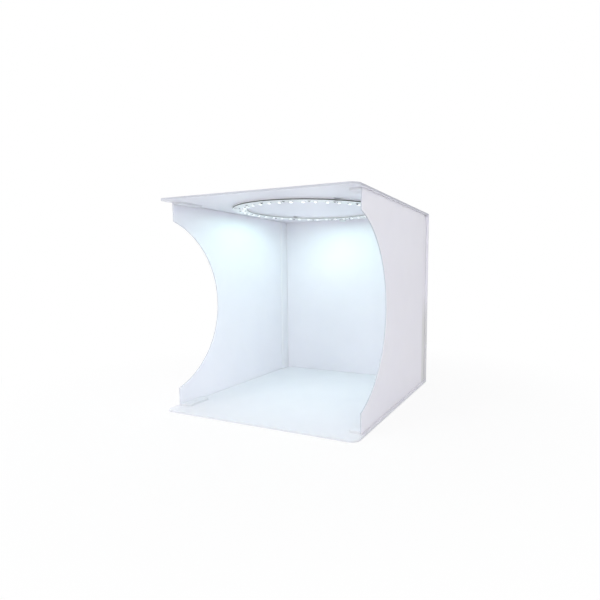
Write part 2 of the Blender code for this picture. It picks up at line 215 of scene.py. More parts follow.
@dataclass(frozen=True)
class CalenderedPolypropylene:
    """White polypropylene sheet, calendered between rolls.

    The rolls leave a satin face with a fine grain and a slow waviness that shows in its sheen. The
    sheet is milky, so light creeps a little way into it, and its die-cut edges are duller and
    greyer than its faces; part of that grey is painted shade.
    """

    face_axis: FaceAxis
    use: str = "sheet"
    face_hex: str = "EEEDF3"
    shade_hex: str = "E8E7EE"
    # Grey of the cut edges: partly their own duller milky tone, partly painted shade
    edge_hex: str = "C6C8D0"
    ior: float = 1.49
    roughness: float = 0.44
    # The rolls' grain is about 0.2 mm and is drawn at 0.9 mm, so that it shows in the picture
    grain_mm: float = 0.9
    grain_depth_mm: float = 0.05
    grain_strength: float = 0.16
    # The grain's hollows are this much glossier and its crests this much duller
    uneven: tuple[float, float] = (-0.05, 0.07)
    # Soft waves that a thin sheet keeps from its roll
    wave_mm: float = 55.0
    wave_depth_mm: float = 0.5
    wave_strength: float = 0.25
    cloud_mm: float = 38.0
    # The edge's grey, partly painted shade, comes in as a face turns off the sheet's axis, between these
    # shares
    edge_slants: tuple[float, float] = (0.75, 0.35)
    edge_dullness: float = 0.22
    # How far light creeps into the milky sheet, its blue a tenth further, and how much of it does
    creep_mm: float = 1.5
    creep_spread: tuple[float, float, float] = (1.0, 1.0, 1.1)
    creep_share: float = 0.3
    # A margin of painted shade starts this share of the width from the middle and is greyest at its
    # foot, where its grey comes in between two shares of the height
    pressed_share: float = 1.0
    pressed_hex: str = "DEDEDF"
    pressed_heights: tuple[float, float] = (0.56, 0.34)

    def make(self) -> bpy.types.Material:
        """Makes the material.

        Returns:
            The sheet's material, for faces that look along one axis.
        """
        axis = self.face_axis.name.lower()
        material, tree = open_material(f"calendered_polypropylene_{self.use}_{axis}")
        place = add_node(tree, "ShaderNodeTexCoord")
        cloud, grain, wave = (
            add_node(tree, "ShaderNodeTexNoise", inputs={
                "Vector": place.outputs["Object"], "Scale": PER_MM / size_mm, "Detail": detail})
            for size_mm, detail in ((self.cloud_mm, 3.0), (self.grain_mm, 2.0), (self.wave_mm, 1.0)))
        faces = add_node(tree, "ShaderNodeMix", {"data_type": "RGBA"}, {
            0: cloud.outputs["Fac"], 6: linear(self.face_hex), 7: linear(self.shade_hex)})
        # A margin, where asked for, gets painted shade
        if self.pressed_share < 1.0:
            faces = self._press(tree, place, faces)
        normal = add_node(tree, "ShaderNodeSeparateXYZ", inputs={0: place.outputs["Normal"]})
        along = add_node(tree, "ShaderNodeMath", {"operation": "ABSOLUTE"}, {
            0: normal.outputs[self.face_axis.value]})
        is_edge = add_node(tree, "ShaderNodeMapRange", inputs={
            "Value": along.outputs[0], "From Min": self.edge_slants[0],
            "From Max": self.edge_slants[1]})
        colour = add_node(tree, "ShaderNodeMix", {"data_type": "RGBA"}, {
            0: is_edge.outputs[0], 6: faces.outputs[2], 7: linear(self.edge_hex)})
        uneven = add_node(tree, "ShaderNodeMapRange", inputs={
            "Value": grain.outputs["Fac"], "To Min": self.roughness + self.uneven[0],
            "To Max": self.roughness + self.uneven[1]})
        dull = add_node(tree, "ShaderNodeMath", {"operation": "MULTIPLY_ADD"}, {
            0: is_edge.outputs[0], 1: self.edge_dullness, 2: uneven.outputs[0]})
        waves = add_node(tree, "ShaderNodeBump", inputs={
            "Strength": self.wave_strength, "Distance": self.wave_depth_mm * MM,
            "Height": wave.outputs["Fac"]})
        relief = add_node(tree, "ShaderNodeBump", inputs={
            "Strength": self.grain_strength, "Distance": self.grain_depth_mm * MM,
            "Height": grain.outputs["Fac"], "Normal": waves.outputs[0]})
        shader = add_node(tree, "ShaderNodeBsdfPrincipled", inputs={
            "Base Color": colour.outputs[2], "Roughness": dull.outputs[0], "IOR": self.ior,
            "Subsurface Weight": self.creep_share, "Subsurface Radius": self.creep_spread,
            "Subsurface Scale": self.creep_mm * MM, "Normal": relief.outputs[0]})
        close_material(tree, shader.outputs[0])
        return material

    def _press(self, tree: bpy.types.NodeTree, place: bpy.types.Node,
               faces: bpy.types.Node) -> bpy.types.Node:
        """Tints a margin with painted shade, greyest at its foot.

        Args:
            tree: the material's tree.
            place: its texture coordinates.
            faces: the mix that colours the faces.

        Returns:
            The mix that colours the faces and their margin.
        """
        share = add_node(tree, "ShaderNodeSeparateXYZ", inputs={0: place.outputs["Generated"]})
        offset = add_node(tree, "ShaderNodeMath", {"operation": "SUBTRACT"}, {
            0: share.outputs["X"], 1: 0.5})
        apart = add_node(tree, "ShaderNodeMath", {"operation": "ABSOLUTE"}, {0: offset.outputs[0]})
        beyond = add_node(tree, "ShaderNodeMath", {"operation": "GREATER_THAN"}, {
            0: apart.outputs[0], 1: self.pressed_share})
        foot = add_node(tree, "ShaderNodeMapRange", {"interpolation_type": "SMOOTHSTEP"}, {
            "Value": share.outputs["Z"], "From Min": self.pressed_heights[0],
            "From Max": self.pressed_heights[1]})
        amount = add_node(tree, "ShaderNodeMath", {"operation": "MULTIPLY"}, {
            0: beyond.outputs[0], 1: foot.outputs[0]})
        return add_node(tree, "ShaderNodeMix", {"data_type": "RGBA"}, {
            0: amount.outputs[0], 6: faces.outputs[2], 7: linear(self.pressed_hex)})


@dataclass(frozen=True)
class SolderMask:
    """Glass-fibre lamp board under white solder mask, screen printed and cured.

    The mask is a smooth white paint with a faint orange peel. The routed outer rim shows a band of
    bare laminate, dark against the lit faces, and the punched inner rim a paler one.
    """

    mask_hex: str = "F1F3F4"
    speckle_hex: str = "E9ECEE"
    laminate_hex: str = "494B47"
    fibre_hex: str = "5A5C56"
    punched_hex: str = "AFB1AF"
    # The paint wraps over the upper part of the rims
    band_share: float = 0.75
    # Outer and inner rims lie on either side of this radius, as a share of the board's width
    rim_split_share: float = 0.45
    ior: float = 1.52
    roughness: float = 0.34
    rim_dullness: float = 0.4
    peel_mm: float = 1.4
    peel_depth_mm: float = 0.05
    peel_strength: float = 0.12
    # Glass yarns lie about 0.45 mm apart in the laminate, and are drawn some three times as coarse
    yarn_mm: float = 0.45
    yarn_spread: float = 10.0
    yarn_sway: float = 1.5

    def make(self) -> bpy.types.Material:
        """Makes the material.

        Returns:
            The board's material: mask on its level faces and laminate on its rims.
        """
        material, tree = open_material("glass_fibre_board_with_white_solder_mask")
        place = add_node(tree, "ShaderNodeTexCoord")
        peel = add_node(tree, "ShaderNodeTexNoise", inputs={
            "Vector": place.outputs["Object"], "Scale": PER_MM / self.peel_mm, "Detail": 2.0})
        mask = add_node(tree, "ShaderNodeMix", {"data_type": "RGBA"}, {
            0: peel.outputs["Fac"], 6: linear(self.mask_hex), 7: linear(self.speckle_hex)})
        yarns = add_node(tree, "ShaderNodeTexWave", {"bands_direction": "Z"}, {
            "Vector": place.outputs["Object"], "Scale": PER_MM / (self.yarn_mm * self.yarn_spread),
            "Distortion": self.yarn_sway, "Detail": 2.0})
        laminate = add_node(tree, "ShaderNodeMix", {"data_type": "RGBA"}, {
            0: yarns.outputs["Fac"], 6: linear(self.laminate_hex), 7: linear(self.fibre_hex)})
        middle = add_node(tree, "ShaderNodeVectorMath", {"operation": "SUBTRACT"}, {
            0: place.outputs["Generated"], 1: (0.5, 0.5, 0.0)})
        share = add_node(tree, "ShaderNodeSeparateXYZ", inputs={0: middle.outputs[0]})
        level = add_node(tree, "ShaderNodeCombineXYZ", inputs={
            "X": share.outputs["X"], "Y": share.outputs["Y"]})
        radius = add_node(tree, "ShaderNodeVectorMath", {"operation": "LENGTH"}, {0: level.outputs[0]})
        is_outer = add_node(tree, "ShaderNodeMath", {"operation": "GREATER_THAN"}, {
            0: radius.outputs["Value"], 1: self.rim_split_share})
        bare = add_node(tree, "ShaderNodeMix", {"data_type": "RGBA"}, {
            0: is_outer.outputs[0], 6: linear(self.punched_hex), 7: laminate.outputs[2]})
        in_band = add_node(tree, "ShaderNodeMath", {"operation": "LESS_THAN"}, {
            0: share.outputs["Z"], 1: self.band_share})
        normal = add_node(tree, "ShaderNodeSeparateXYZ", inputs={0: place.outputs["Normal"]})
        along = add_node(tree, "ShaderNodeMath", {"operation": "ABSOLUTE"}, {0: normal.outputs["Z"]})
        is_side = add_node(tree, "ShaderNodeMath", {"operation": "LESS_THAN"}, {
            0: along.outputs[0], 1: 0.5})
        is_rim = add_node(tree, "ShaderNodeMath", {"operation": "MULTIPLY"}, {
            0: is_side.outputs[0], 1: in_band.outputs[0]})
        colour = add_node(tree, "ShaderNodeMix", {"data_type": "RGBA"}, {
            0: is_rim.outputs[0], 6: mask.outputs[2], 7: bare.outputs[2]})
        rough = add_node(tree, "ShaderNodeMath", {"operation": "MULTIPLY_ADD"}, {
            0: is_rim.outputs[0], 1: self.rim_dullness, 2: self.roughness})
        relief = add_node(tree, "ShaderNodeBump", inputs={
            "Strength": self.peel_strength, "Distance": self.peel_depth_mm * MM,
            "Height": peel.outputs["Fac"]})
        shader = add_node(tree, "ShaderNodeBsdfPrincipled", inputs={
            "Base Color": colour.outputs[2], "Roughness": rough.outputs[0], "IOR": self.ior,
            "Normal": relief.outputs[0]})
        close_material(tree, shader.outputs[0])
        return material


@dataclass(frozen=True)
class PlainFinish:
    """A small part's plain finish: two close tints, a fine skin and gloss."""

    name: str
    light_hex: str
    dark_hex: str
    roughness: float
    ior: float = 1.5
    metallic: float = 0.0
    # The skin that the mould or the plating leaves, glossier in its hollows and duller on its crests
    skin_mm: float = 0.6
    skin_depth_mm: float = 0.03
    skin_strength: float = 0.3
    uneven: tuple[float, float] = (-0.05, 0.08)
    mottle_mm: float = 3.0
    # Light that comes through the part from a source inside it
    glow: float = 0.0
    glow_hex: str = "F4FBFF"

    def make(self) -> bpy.types.Material:
        """Makes the material.

        Returns:
            The material, named for what the part is made of and how.
        """
        material, tree = open_material(self.name)
        place = add_node(tree, "ShaderNodeTexCoord")
        mottle, skin = (
            add_node(tree, "ShaderNodeTexNoise", inputs={
                "Vector": place.outputs["Object"], "Scale": PER_MM / size_mm, "Detail": detail})
            for size_mm, detail in ((self.mottle_mm, 3.0), (self.skin_mm, 2.0)))
        colour = add_node(tree, "ShaderNodeMix", {"data_type": "RGBA"}, {
            0: mottle.outputs["Fac"], 6: linear(self.light_hex), 7: linear(self.dark_hex)})
        rough = add_node(tree, "ShaderNodeMapRange", inputs={
            "Value": skin.outputs["Fac"], "To Min": self.roughness + self.uneven[0],
            "To Max": self.roughness + self.uneven[1]})
        relief = add_node(tree, "ShaderNodeBump", inputs={
            "Strength": self.skin_strength, "Distance": self.skin_depth_mm * MM,
            "Height": skin.outputs["Fac"]})
        settings = {
            "Base Color": colour.outputs[2], "Roughness": rough.outputs[0],
            "Metallic": self.metallic, "Normal": relief.outputs[0]}
        if self.metallic < 0.5:
            settings["IOR"] = self.ior
        if self.glow > 0.0:
            settings["Emission Color"] = linear(self.glow_hex)
            settings["Emission Strength"] = self.glow
        shader = add_node(tree, "ShaderNodeBsdfPrincipled", inputs=settings)
        close_material(tree, shader.outputs[0])
        return material


@dataclass(frozen=True)
class LitPhosphor:
    """Silicone with phosphor, dispensed into the diode's cup and lit.

    Unlit it is a soft yellow. Lit, the dome is a white point with a trace of blue.
    """

    silicone_hex: str = "F4EFB4"
    glow_hex: str = "F4FBFF"
    settled_hex: str = "E6F2FF"
    ior: float = 1.41
    roughness: float = 0.25
    strength: float = 3.0
    # Phosphor grains settle unevenly over about a third of a millimetre
    settle_mm: float = 0.35

    def make(self) -> bpy.types.Material:
        """Makes the material.

        Returns:
            The lit dome's material.
        """
        material, tree = open_material("dispensed_phosphor_silicone_lit")
        place = add_node(tree, "ShaderNodeTexCoord")
        settle = add_node(tree, "ShaderNodeTexNoise", inputs={
            "Vector": place.outputs["Object"], "Scale": PER_MM / self.settle_mm, "Detail": 1.0})
        glow = add_node(tree, "ShaderNodeMix", {"data_type": "RGBA"}, {
            0: settle.outputs["Fac"], 6: linear(self.glow_hex), 7: linear(self.settled_hex)})
        shader = add_node(tree, "ShaderNodeBsdfPrincipled", inputs={
            "Base Color": linear(self.silicone_hex), "Roughness": self.roughness, "IOR": self.ior,
            "Emission Color": glow.outputs[2], "Emission Strength": self.strength})
        close_material(tree, shader.outputs[0])
        return material


class FinishShelf:
    """Holds each finish once, made the first time that it is asked for."""

    def __init__(self) -> None:
        """Names every finish of the object."""
        self.recipes = {
            "wall": CalenderedPolypropylene(FaceAxis.X, "wall"),
            # Painted shade greys a spine strip's foot over its whole width
            "spine": CalenderedPolypropylene(FaceAxis.X, "spine", pressed_share=-1.0),
            "flap": CalenderedPolypropylene(FaceAxis.X, "flap", edge_hex="E4E4EA"),
            # Painted shade greys the back board's foot only along its side edges
            "back": CalenderedPolypropylene(FaceAxis.Y, "back", pressed_share=0.484),
            # The floor's paler and the roof's darker edge greys are painted light and painted shade: one
            # sheet, coloured for how each edge is lit
            "floor": CalenderedPolypropylene(FaceAxis.Z, "floor", edge_hex="DADBE1"),
            "roof": CalenderedPolypropylene(FaceAxis.Z, "roof", edge_hex="BFC1C9"),
            # Webs, beads and welds are the same sheet drawn thin, pale all round
            "drawn": CalenderedPolypropylene(FaceAxis.Z, "drawn", edge_hex="ECEBF1"),
            # A raised grey line along the spine strips' free edges is painted shade
            "trim": CalenderedPolypropylene(FaceAxis.X, "trim", face_hex="C6C7CC", shade_hex="BEBFC4",
                                            edge_hex="B8B9BE"),
            # The scraped rim of a tab is duller than its face, and its darker tint is painted shade
            "rim": CalenderedPolypropylene(FaceAxis.Z, "rim", face_hex="DFDFE5", shade_hex="DADAE0",
                                           edge_hex="DADAE0", roughness=0.68),
            # A tab is folded from the wall's thinner sheet, whose cut edge stays nearly as pale as its face
            "tab": CalenderedPolypropylene(FaceAxis.Z, "tab", edge_hex="E2E2E9"),
            "board": SolderMask(),
            "phosphor": LitPhosphor(),
            # Heat-proof moulding compound of the diode's cup: chalky white, lit through its thin walls
            "cup": PlainFinish("moulded_white_polyphthalamide_lit", "F4F4F2", "ECEDEE", 0.42, 1.52,
                               glow=0.35),
            # Alumina blank of a chip resistor: fired, fine-grained and off-white
            "alumina": PlainFinish("fired_alumina_ceramic", "E9E6DE", "DAD8D2", 0.5, 1.76),
            # Overglaze over the resistor's film: black and glassy
            "overglaze": PlainFinish("printed_black_overglaze", "141417", "202024", 0.22, 1.52),
            # Closed-cell foam tape: dull, white and slightly pitted
            "foam": PlainFinish("white_closed_cell_foam_tape", "F0F0F3", "E8E8EC", 0.75, 1.48,
                                skin_depth_mm=0.08),
            # Solder and tin plate: soft grey gloss with a frosted skin
            "tin": PlainFinish("reflowed_tin_solder", "C9CACC", "B4B6BA", 0.28, metallic=1.0),
            # Moulded nylon: milky white, with a soft gloss that the mould's fine texture breaks up
            "nylon": PlainFinish("moulded_white_nylon", "E9E9EC", "E0E1E6", 0.46, 1.53,
                                 skin_mm=0.5, mottle_mm=4.0),
            # Nickel plate on a pressed magnet: warm and bright, with a fine unevenness
            "nickel": PlainFinish("nickel_plated_magnet", "C4C0B8", "B3B0AA", 0.2, metallic=1.0),
            # Tin plate over pressed steel: pale grey metal with a satin sheen
            "shell": PlainFinish("tin_plated_pressed_steel", "E2E4E6", "D6D9DC", 0.42, metallic=1.0,
                                 skin_mm=0.4),
            # Moulding compound of the inlet's tongue: black, half matt and even
            "carrier": PlainFinish("moulded_black_contact_carrier", "17171A", "222226", 0.5, 1.58),
            # Thin gold over nickel on the contacts: yellow and bright
            "gold": PlainFinish("gold_flashed_contact", "E2B95A", "CFA24A", 0.24, metallic=1.0),
        }
        self.made: dict[str, bpy.types.Material] = {}

    def get(self, name: str) -> bpy.types.Material:
        """Gives a finish's material.

        Args:
            name: the finish's short name.

        Returns:
            The material, made once and shared.
        """
        if name not in self.made:
            self.made[name] = self.recipes[name].make()
        return self.made[name]


finishes = FinishShelf()


def middle_of(node: str) -> Vector:
    """Gives the middle of a node's box."""
    low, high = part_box(node)
    return (low + high) / 2.0


def level_way(angle: float) -> Vector:
    """Gives the level direction at an angle from the x axis."""
    return Vector((math.cos(angle), math.sin(angle), 0.0))


def circle(radius: float, height: float, steps: int = FINE_STEPS) -> list[Vector]:
    """Gives the points of a level circle about the z axis.

    Args:
        radius: the circle's radius.
        height: its z.
        steps: how many points it has.

    Returns:
        The points, anticlockwise.
    """
    angles = [math.tau * step / steps for step in range(steps)]
    return [Vector((radius * math.cos(a), radius * math.sin(a), height)) for a in angles]


def rounded_box_ring(half_x: float, half_y: float, corner: float, height: float,
                     steps: int = SMALL_STEPS) -> list[Vector]:
    """Gives the points of a level rectangle with round corners.

    Args:
        half_x: half of its size along x.
        half_y: half of its size along y.
        corner: the radius of its corners.
        height: its z.
        steps: how many points it has, four equal corners together.

    Returns:
        The points, anticlockwise, as many for each corner.
    """
    points = []
    each = steps // 4
    for quarter in range(4):
        sign_x = 1.0 if quarter in (0, 3) else -1.0
        sign_y = 1.0 if quarter in (0, 1) else -1.0
        for step in range(each):
            angle = (quarter + step / (each - 1)) * math.pi / 2.0
            points.append(Vector((
                sign_x * (half_x - corner) + corner * math.cos(angle),
                sign_y * (half_y - corner) + corner * math.sin(angle),
                height)))
    return points


def small_rings(sizes_mm: tuple[tuple[float, float, float], ...],
                heights: tuple[float, ...]) -> list[list[Vector]]:
    """Gives the rings of a small part.

    Args:
        sizes_mm: half of each ring's x size, half of its y size and its corners' radius, in mm.
        heights: each ring's z.

    Returns:
        The rings, in order.
    """
    return [
        rounded_box_ring(half_x * MM, half_y * MM, corner * MM, height)
        for (half_x, half_y, corner), height in zip(sizes_mm, heights)]


class Shape:
    """Gathers closed shells of mesh, each with its own finish, into one piece."""

    def __init__(self, name: str) -> None:
        """Starts an empty piece.

        Args:
            name: the piece's name.
        """
        self.name = name
        self.mesh = bmesh.new()
        self.materials: list[bpy.types.Material] = []

    def loft(self, rings: list[list[Vector]], finish: str, place: Matrix | None = None,
             closed: bool = False) -> None:
        """Adds a shell through rings of points, capped at both ends or closed on itself.

        Args:
            rings: rings with equally many points, in order.
            finish: the shell's finish.
            place: where the shell goes, from its own axes.
            closed: True where the last ring meets the first one.
        """
        material = finishes.get(finish)
        if material not in self.materials:
            self.materials.append(material)
        index = self.materials.index(material)
        place = place or Matrix.Identity(4)
        rows = [[self.mesh.verts.new(place @ point) for point in ring] for ring in rings]
        count = len(rows[0])
        pairs = list(zip(rows, rows[1:]))
        if closed:
            pairs.append((rows[-1], rows[0]))
        faces = []
        for lower, upper in pairs:
            for step in range(count):
                after = (step + 1) % count
                faces.append(self.mesh.faces.new((lower[step], lower[after], upper[after], upper[step])))
        if not closed:
            faces.append(self.mesh.faces.new(list(reversed(rows[0]))))
            faces.append(self.mesh.faces.new(rows[-1]))
        for face in faces:
            face.material_index = index
            face.smooth = True

    def turned(self, profile: list[tuple[float, float]], finish: str, place: Matrix | None = None,
               steps: int = FINE_STEPS) -> None:
        """Adds a shell turned about the z axis, capped at both ends of its profile.

        Args:
            profile: pairs of radius and z, from one end to the other.
            finish: the shell's finish.
            place: where the shell goes, from its own axes.
            steps: how many steps the full turn has.
        """
        self.loft([circle(radius, height, steps) for radius, height in profile], finish, place)

    def make(self, body: str | None, slot: str, replaced: tuple[str, ...] = ()) -> bpy.types.Object:
        """Turns the shells into one piece of the object.

        Args:
            body: the body that the piece rides on, or None.
            slot: the record's material slot for the piece; not used.
            replaced: the CAD nodes that the piece stands for.

        Returns:
            The new object.
        """
        bmesh.ops.recalc_face_normals(self.mesh, faces=self.mesh.faces)
        data = bpy.data.meshes.new(self.name)
        self.mesh.to_mesh(data)
        self.mesh.free()
        for material in self.materials:
            data.materials.append(material)
        data.set_sharp_from_angle(angle=SMOOTH_ANGLE)
        piece = add_object(self.name, data)
        if body:
            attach(piece, body)
        if replaced:
            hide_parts(*replaced)
        log.info("made %s with %d faces", self.name, len(data.polygons))
        return piece


def dress_node(name: str, finish: str, edge_radius: float) -> None:
    """Gives a CAD node its material and eases its sharp edges.

    Args:
        name: the node's name.
        finish: the finish that its faces get.
        edge_radius: the width of the eased edge.
    """
    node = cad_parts[name]
    node.data.materials.clear()
    node.data.materials.append(finishes.get(finish))
    weld = node.modifiers.new("weld", "WELD")
    weld.merge_threshold = 0.001 * MM
    ease = node.modifiers.new("ease", "BEVEL")
    ease.width = edge_radius
    ease.segments = 2
    ease.limit_method = "ANGLE"
    ease.angle_limit = math.radians(50.0)
    ease.harden_normals = True
    log.info("dressed %s as %s", name, finish)


@dataclass
class SheetBox:
    """The box's sheets: floor, back, roof, side walls, spine strips, back flaps and corner tabs."""

    edge_radius: float = 0.3 * MM
    plans: dict[str, tuple[str, ...]] = field(default_factory=lambda: {
        "floor": ("floor_board",),
        "roof": ("roof_board",),
        "back": ("back_board",),
        "wall": ("left_wall", "right_wall"),
        "spine": ("left_spine_strip", "right_spine_strip"),
        "flap": ("left_back_flap", "right_back_flap"),
        "tab": ("left_floor_tab", "right_floor_tab", "left_roof_tab", "right_roof_tab"),
    })

    def dress(self) -> None:
        """Gives every sheet its finish and eased edges."""
        for finish, names in self.plans.items():
            for name in names:
                dress_node(name, finish, self.edge_radius)


@dataclass
class BoardCreases:
    """The flexible webs that join the back board to the floor and to the roof."""

    web_thickness: float = 0.3 * MM
    reach: float = 0.7 * MM
    inset: float = 0.6 * MM
    arc_steps: int = 6

    def build(self) -> None:
        """Makes both webs, each bent between the two boards that it joins."""
        self._web("base", "back", Level.FLOOR)
        self._web("back", "roof", Level.ROOF)

    def _web(self, first: str, second: str, level: Level) -> None:
        """Makes one web in the inner corner of a board and the back.

        Args:
            first: the body on the parent's side of the crease; not used.
            second: the body on the child's side; not used.
            level: the board that the web joins to the back.
        """
        low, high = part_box(level.board)
        up = level.value
        corner = Vector((0.0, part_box("back_board")[0].y, level.inner_z(level.board)))
        centre = corner + Vector((0.0, -self.reach, up * self.reach))
        bend = [math.pi / 2.0 * (step / self.arc_steps - 1.0) for step in range(self.arc_steps + 1)]
        loop = [(self.reach, angle) for angle in bend]
        loop += [(self.reach + self.web_thickness, angle) for angle in reversed(bend)]
        rings = []
        for x in (low.x + self.inset, high.x - self.inset):
            rings.append([
                Vector((x, centre.y + radius * math.cos(angle), centre.z + up * radius * math.sin(angle)))
                for radius, angle in loop])
        shape = Shape(f"{level.key}_crease_web")
        shape.loft(rings, "drawn")
        piece = shape.make(None, "white_sheet")
        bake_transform(piece)


@dataclass
class WallCreases:
    """The flexible webs that join each side wall to its spine strip."""

    web_thickness: float = 0.35 * MM
    recess: float = 0.15 * MM
    overlap: float = 0.15 * MM
    inset: float = 0.5 * MM
    bend_steps: int = 4

    def build(self) -> None:
        """Makes the web of each side."""
        for side in Side:
            self._web(side)

    def _web(self, side: Side) -> None:
        """Makes one side's web, just inside the wall's outer face.

        Args:
            side: the side of the box.
        """
        key = side.key
        low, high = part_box(f"{key}_wall")
        outer_x = side.outer_x(f"{key}_wall")
        near_x = outer_x - side.value * self.recess
        far_x = near_x - side.value * self.web_thickness
        bottom = low.z + self.inset
        top = high.z - self.inset
        start_y = high.y - self.overlap
        end_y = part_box(f"{key}_spine_strip")[0].y + self.overlap
        rings = []
        for step in range(self.bend_steps + 1):
            y = start_y + (end_y - start_y) * step / self.bend_steps
            rings.append([
                Vector((x, y, z))
                for x, z in ((near_x, bottom), (far_x, bottom), (far_x, top), (near_x, top))])
        shape = Shape(f"{key}_wall_crease_web")
        shape.loft(rings, "drawn")
        piece = shape.make(None, "white_sheet")
        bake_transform(piece)


@dataclass
class CornerCatch:
    """One corner tab's dressing: the web at its fold, the weld over its magnet and the plated discs."""

    side: Side
    level: Level
    web_reach: float = 0.35 * MM
    web_thickness: float = 0.25 * MM
    weld_radius: float = 4.9 * MM
    weld_width: float = 0.5 * MM
    weld_height: float = 0.14 * MM
    end_inset: float = 0.6 * MM
    plate_edge: float = 0.12 * MM
    tab_corner: float = 4.0 * MM
    # The rim is tucked under the tab, and thins out over this width
    tuck: float = 0.2 * MM
    skive: float = 1.2 * MM
    rim_drop: float = 0.03 * MM
    rim_lip: float = 0.1 * MM
    rim_foot: float = 0.06 * MM
    corner_steps: int = 8
    bead_steps: int = 8
    bend_steps: int = 4
    key: str = field(init=False)
    low: Vector = field(init=False)
    high: Vector = field(init=False)
    face_z: float = field(init=False)

    def build(self) -> None:
        """Makes the web, the weld and the thinned rim and dresses the magnets."""
        self.key = f"{self.side.key}_{self.level.key}"
        self.low, self.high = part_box(f"{self.key}_tab")
        self.face_z = self.level.inner_z(f"{self.key}_tab")
        self._weld()
        self._web()
        self._rim()
        for name in (f"{self.key}_tab_magnet", f"{self.key}_board_magnet"):
            dress_node(name, "nickel", self.plate_edge)

    def _rim(self) -> None:
        """Makes the rim that thins out to the board along the tab's three free sides."""
        out = -self.side.value
        up = self.level.value
        wall_x = self.side.outer_x(f"{self.key}_tab")
        free_x = self.side.inner_x(f"{self.key}_tab")
        foot_z = self.level.inner_z(self.level.board) + up * CLEARANCE
        path = [(Vector((wall_x, self.low.y, 0.0)), Vector((0.0, -1.0, 0.0)))]
        for sign, y in ((-1.0, self.low.y), (1.0, self.high.y)):
            centre = Vector((free_x - out * self.tab_corner, y - sign * self.tab_corner, 0.0))
            turns = range(self.corner_steps + 1)
            for step in turns if sign < 0.0 else reversed(turns):
                angle = math.pi / 2.0 * step / self.corner_steps
                way = Vector((out * math.sin(angle), sign * math.cos(angle), 0.0))
                path.append((centre + way * self.tab_corner, way))
        path.append((Vector((wall_x, self.high.y, 0.0)), Vector((0.0, 1.0, 0.0))))
        lip = self.rim_lip
        section = (
            (-self.tuck, self.face_z - up * self.rim_drop), (lip, self.face_z - up * lip),
            (self.skive * 0.6, (self.face_z + foot_z) / 2.0), (self.skive, foot_z + up * self.rim_foot),
            (self.skive - lip, foot_z), (-self.tuck, foot_z))
        rings = []
        for point, way in path:
            rings.append([
                Vector((point.x + way.x * reach, point.y + way.y * reach, z)) for reach, z in section])
        shape = Shape(f"{self.key}_tab_rim")
        shape.loft(rings, "rim")
        shape.make(f"{self.key}_catch", "white_sheet")

    def _weld(self) -> None:
        """Makes the low ring that the weld around the magnet raises on the tab's inner face."""
        centre = middle_of(f"{self.key}_tab_magnet")
        up = self.level.value
        rings = []
        for step in range(FINE_STEPS):
            angle = math.tau * step / FINE_STEPS
            out = level_way(angle)
            ring = []
            for corner in range(self.bead_steps):
                turn = math.tau * corner / self.bead_steps
                radius = self.weld_radius + self.weld_width / 2.0 * math.cos(turn)
                height = up * self.weld_height * math.sin(turn)
                ring.append(Vector((centre.x, centre.y, self.face_z + height)) + out * radius)
            rings.append(ring)
        shape = Shape(f"{self.key}_tab_weld")
        shape.loft(rings, "drawn", closed=True)
        shape.make(f"{self.key}_catch", "white_sheet")

    def _web(self) -> None:
        """Makes the web between the tab's inner face and the wall."""
        key = self.side.key
        wall_x = self.side.inner_x(f"{key}_wall")
        face_z = self.face_z
        out = self.side.value
        up = self.level.value
        centre = Vector((wall_x - out * self.web_reach, 0.0, face_z + up * self.web_reach))
        shares = [step / self.bend_steps for step in range(self.bend_steps + 1)]
        inner = [(self.web_reach, share) for share in shares]
        outer = [(self.web_reach + self.web_thickness, share) for share in reversed(shares)]
        rings = []
        for y in (self.low.y + self.end_inset, self.high.y - self.end_inset):
            ring = []
            for radius, share in inner + outer:
                angle = -math.pi / 2.0 * (1.0 - share)
                ring.append(Vector((
                    centre.x + out * radius * math.cos(angle), y,
                    centre.z + up * radius * math.sin(angle))))
            rings.append(ring)
        shape = Shape(f"{self.key}_tab_crease_web")
        shape.loft(rings, "drawn")
        piece = shape.make(None, "white_sheet")
        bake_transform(piece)


@dataclass
class SheetSeams:
    """The drawn-out edges that close the sheets' gaps, and the grey line of painted shade along the spine
    strips.
    """

    # The drawn edge starts above the sheet's eased corner and stands a hair proud of its faces
    cover: float = 0.45 * MM
    proud: float = 0.02 * MM
    end_inset: float = 0.2 * MM
    # A flap's front edge: its width, its thin lip, and how far its face is eased across and forward
    flap_skive: float = 2.2 * MM
    flap_lip: float = 0.1 * MM
    flap_ease: tuple[float, float] = (0.12 * MM, 0.15 * MM)
    corner_reach: float = 0.8 * MM
    corner_tuck: float = 0.1 * MM
    corner_steps: int = 6
    # The raised grey line of painted shade along a spine strip's free edge
    trim_inset: float = 0.5 * MM
    trim_width: float = 0.5 * MM
    trim_height: float = 0.12 * MM
    trim_depth: float = 0.03 * MM
    trim_crest_share: float = 0.6
    spine_round: float = 19.0 * MM
    # Edges and rounds reach this far back over the sheet that carries them
    lap: float = 0.3 * MM
    edge_corner: float = 0.2 * MM
    floor_z: float = field(init=False)
    roof_z: float = field(init=False)

    def build(self) -> None:
        """Makes the edges of both sides."""
        self.floor_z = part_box("floor_board")[1].z + CLEARANCE
        self.roof_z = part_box("roof_board")[0].z - CLEARANCE
        for side in Side:
            key = side.key
            self._edges(f"{key}_wall", f"{key}_side", True)
            self._edges(f"{key}_back_flap", "back", True)
            self._edges(f"{key}_spine_strip", "back", False)
            self._flap_front(side)
            self._flap_corner(side)
            self._trim_line(side)

    def _edges(self, node: str, body: str, has_top: bool) -> None:
        """Makes the thin edges that bring an upright sheet to the floor and the roof.

        Args:
            node: the sheet's CAD node.
            body: the body that it belongs to.
            has_top: whether its top edge is straight too.
        """
        low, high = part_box(node)
        middle = middle_of(node)
        half_x = (high.x - low.x) / 2.0 + self.proud
        half_y = (high.y - low.y) / 2.0 - self.end_inset
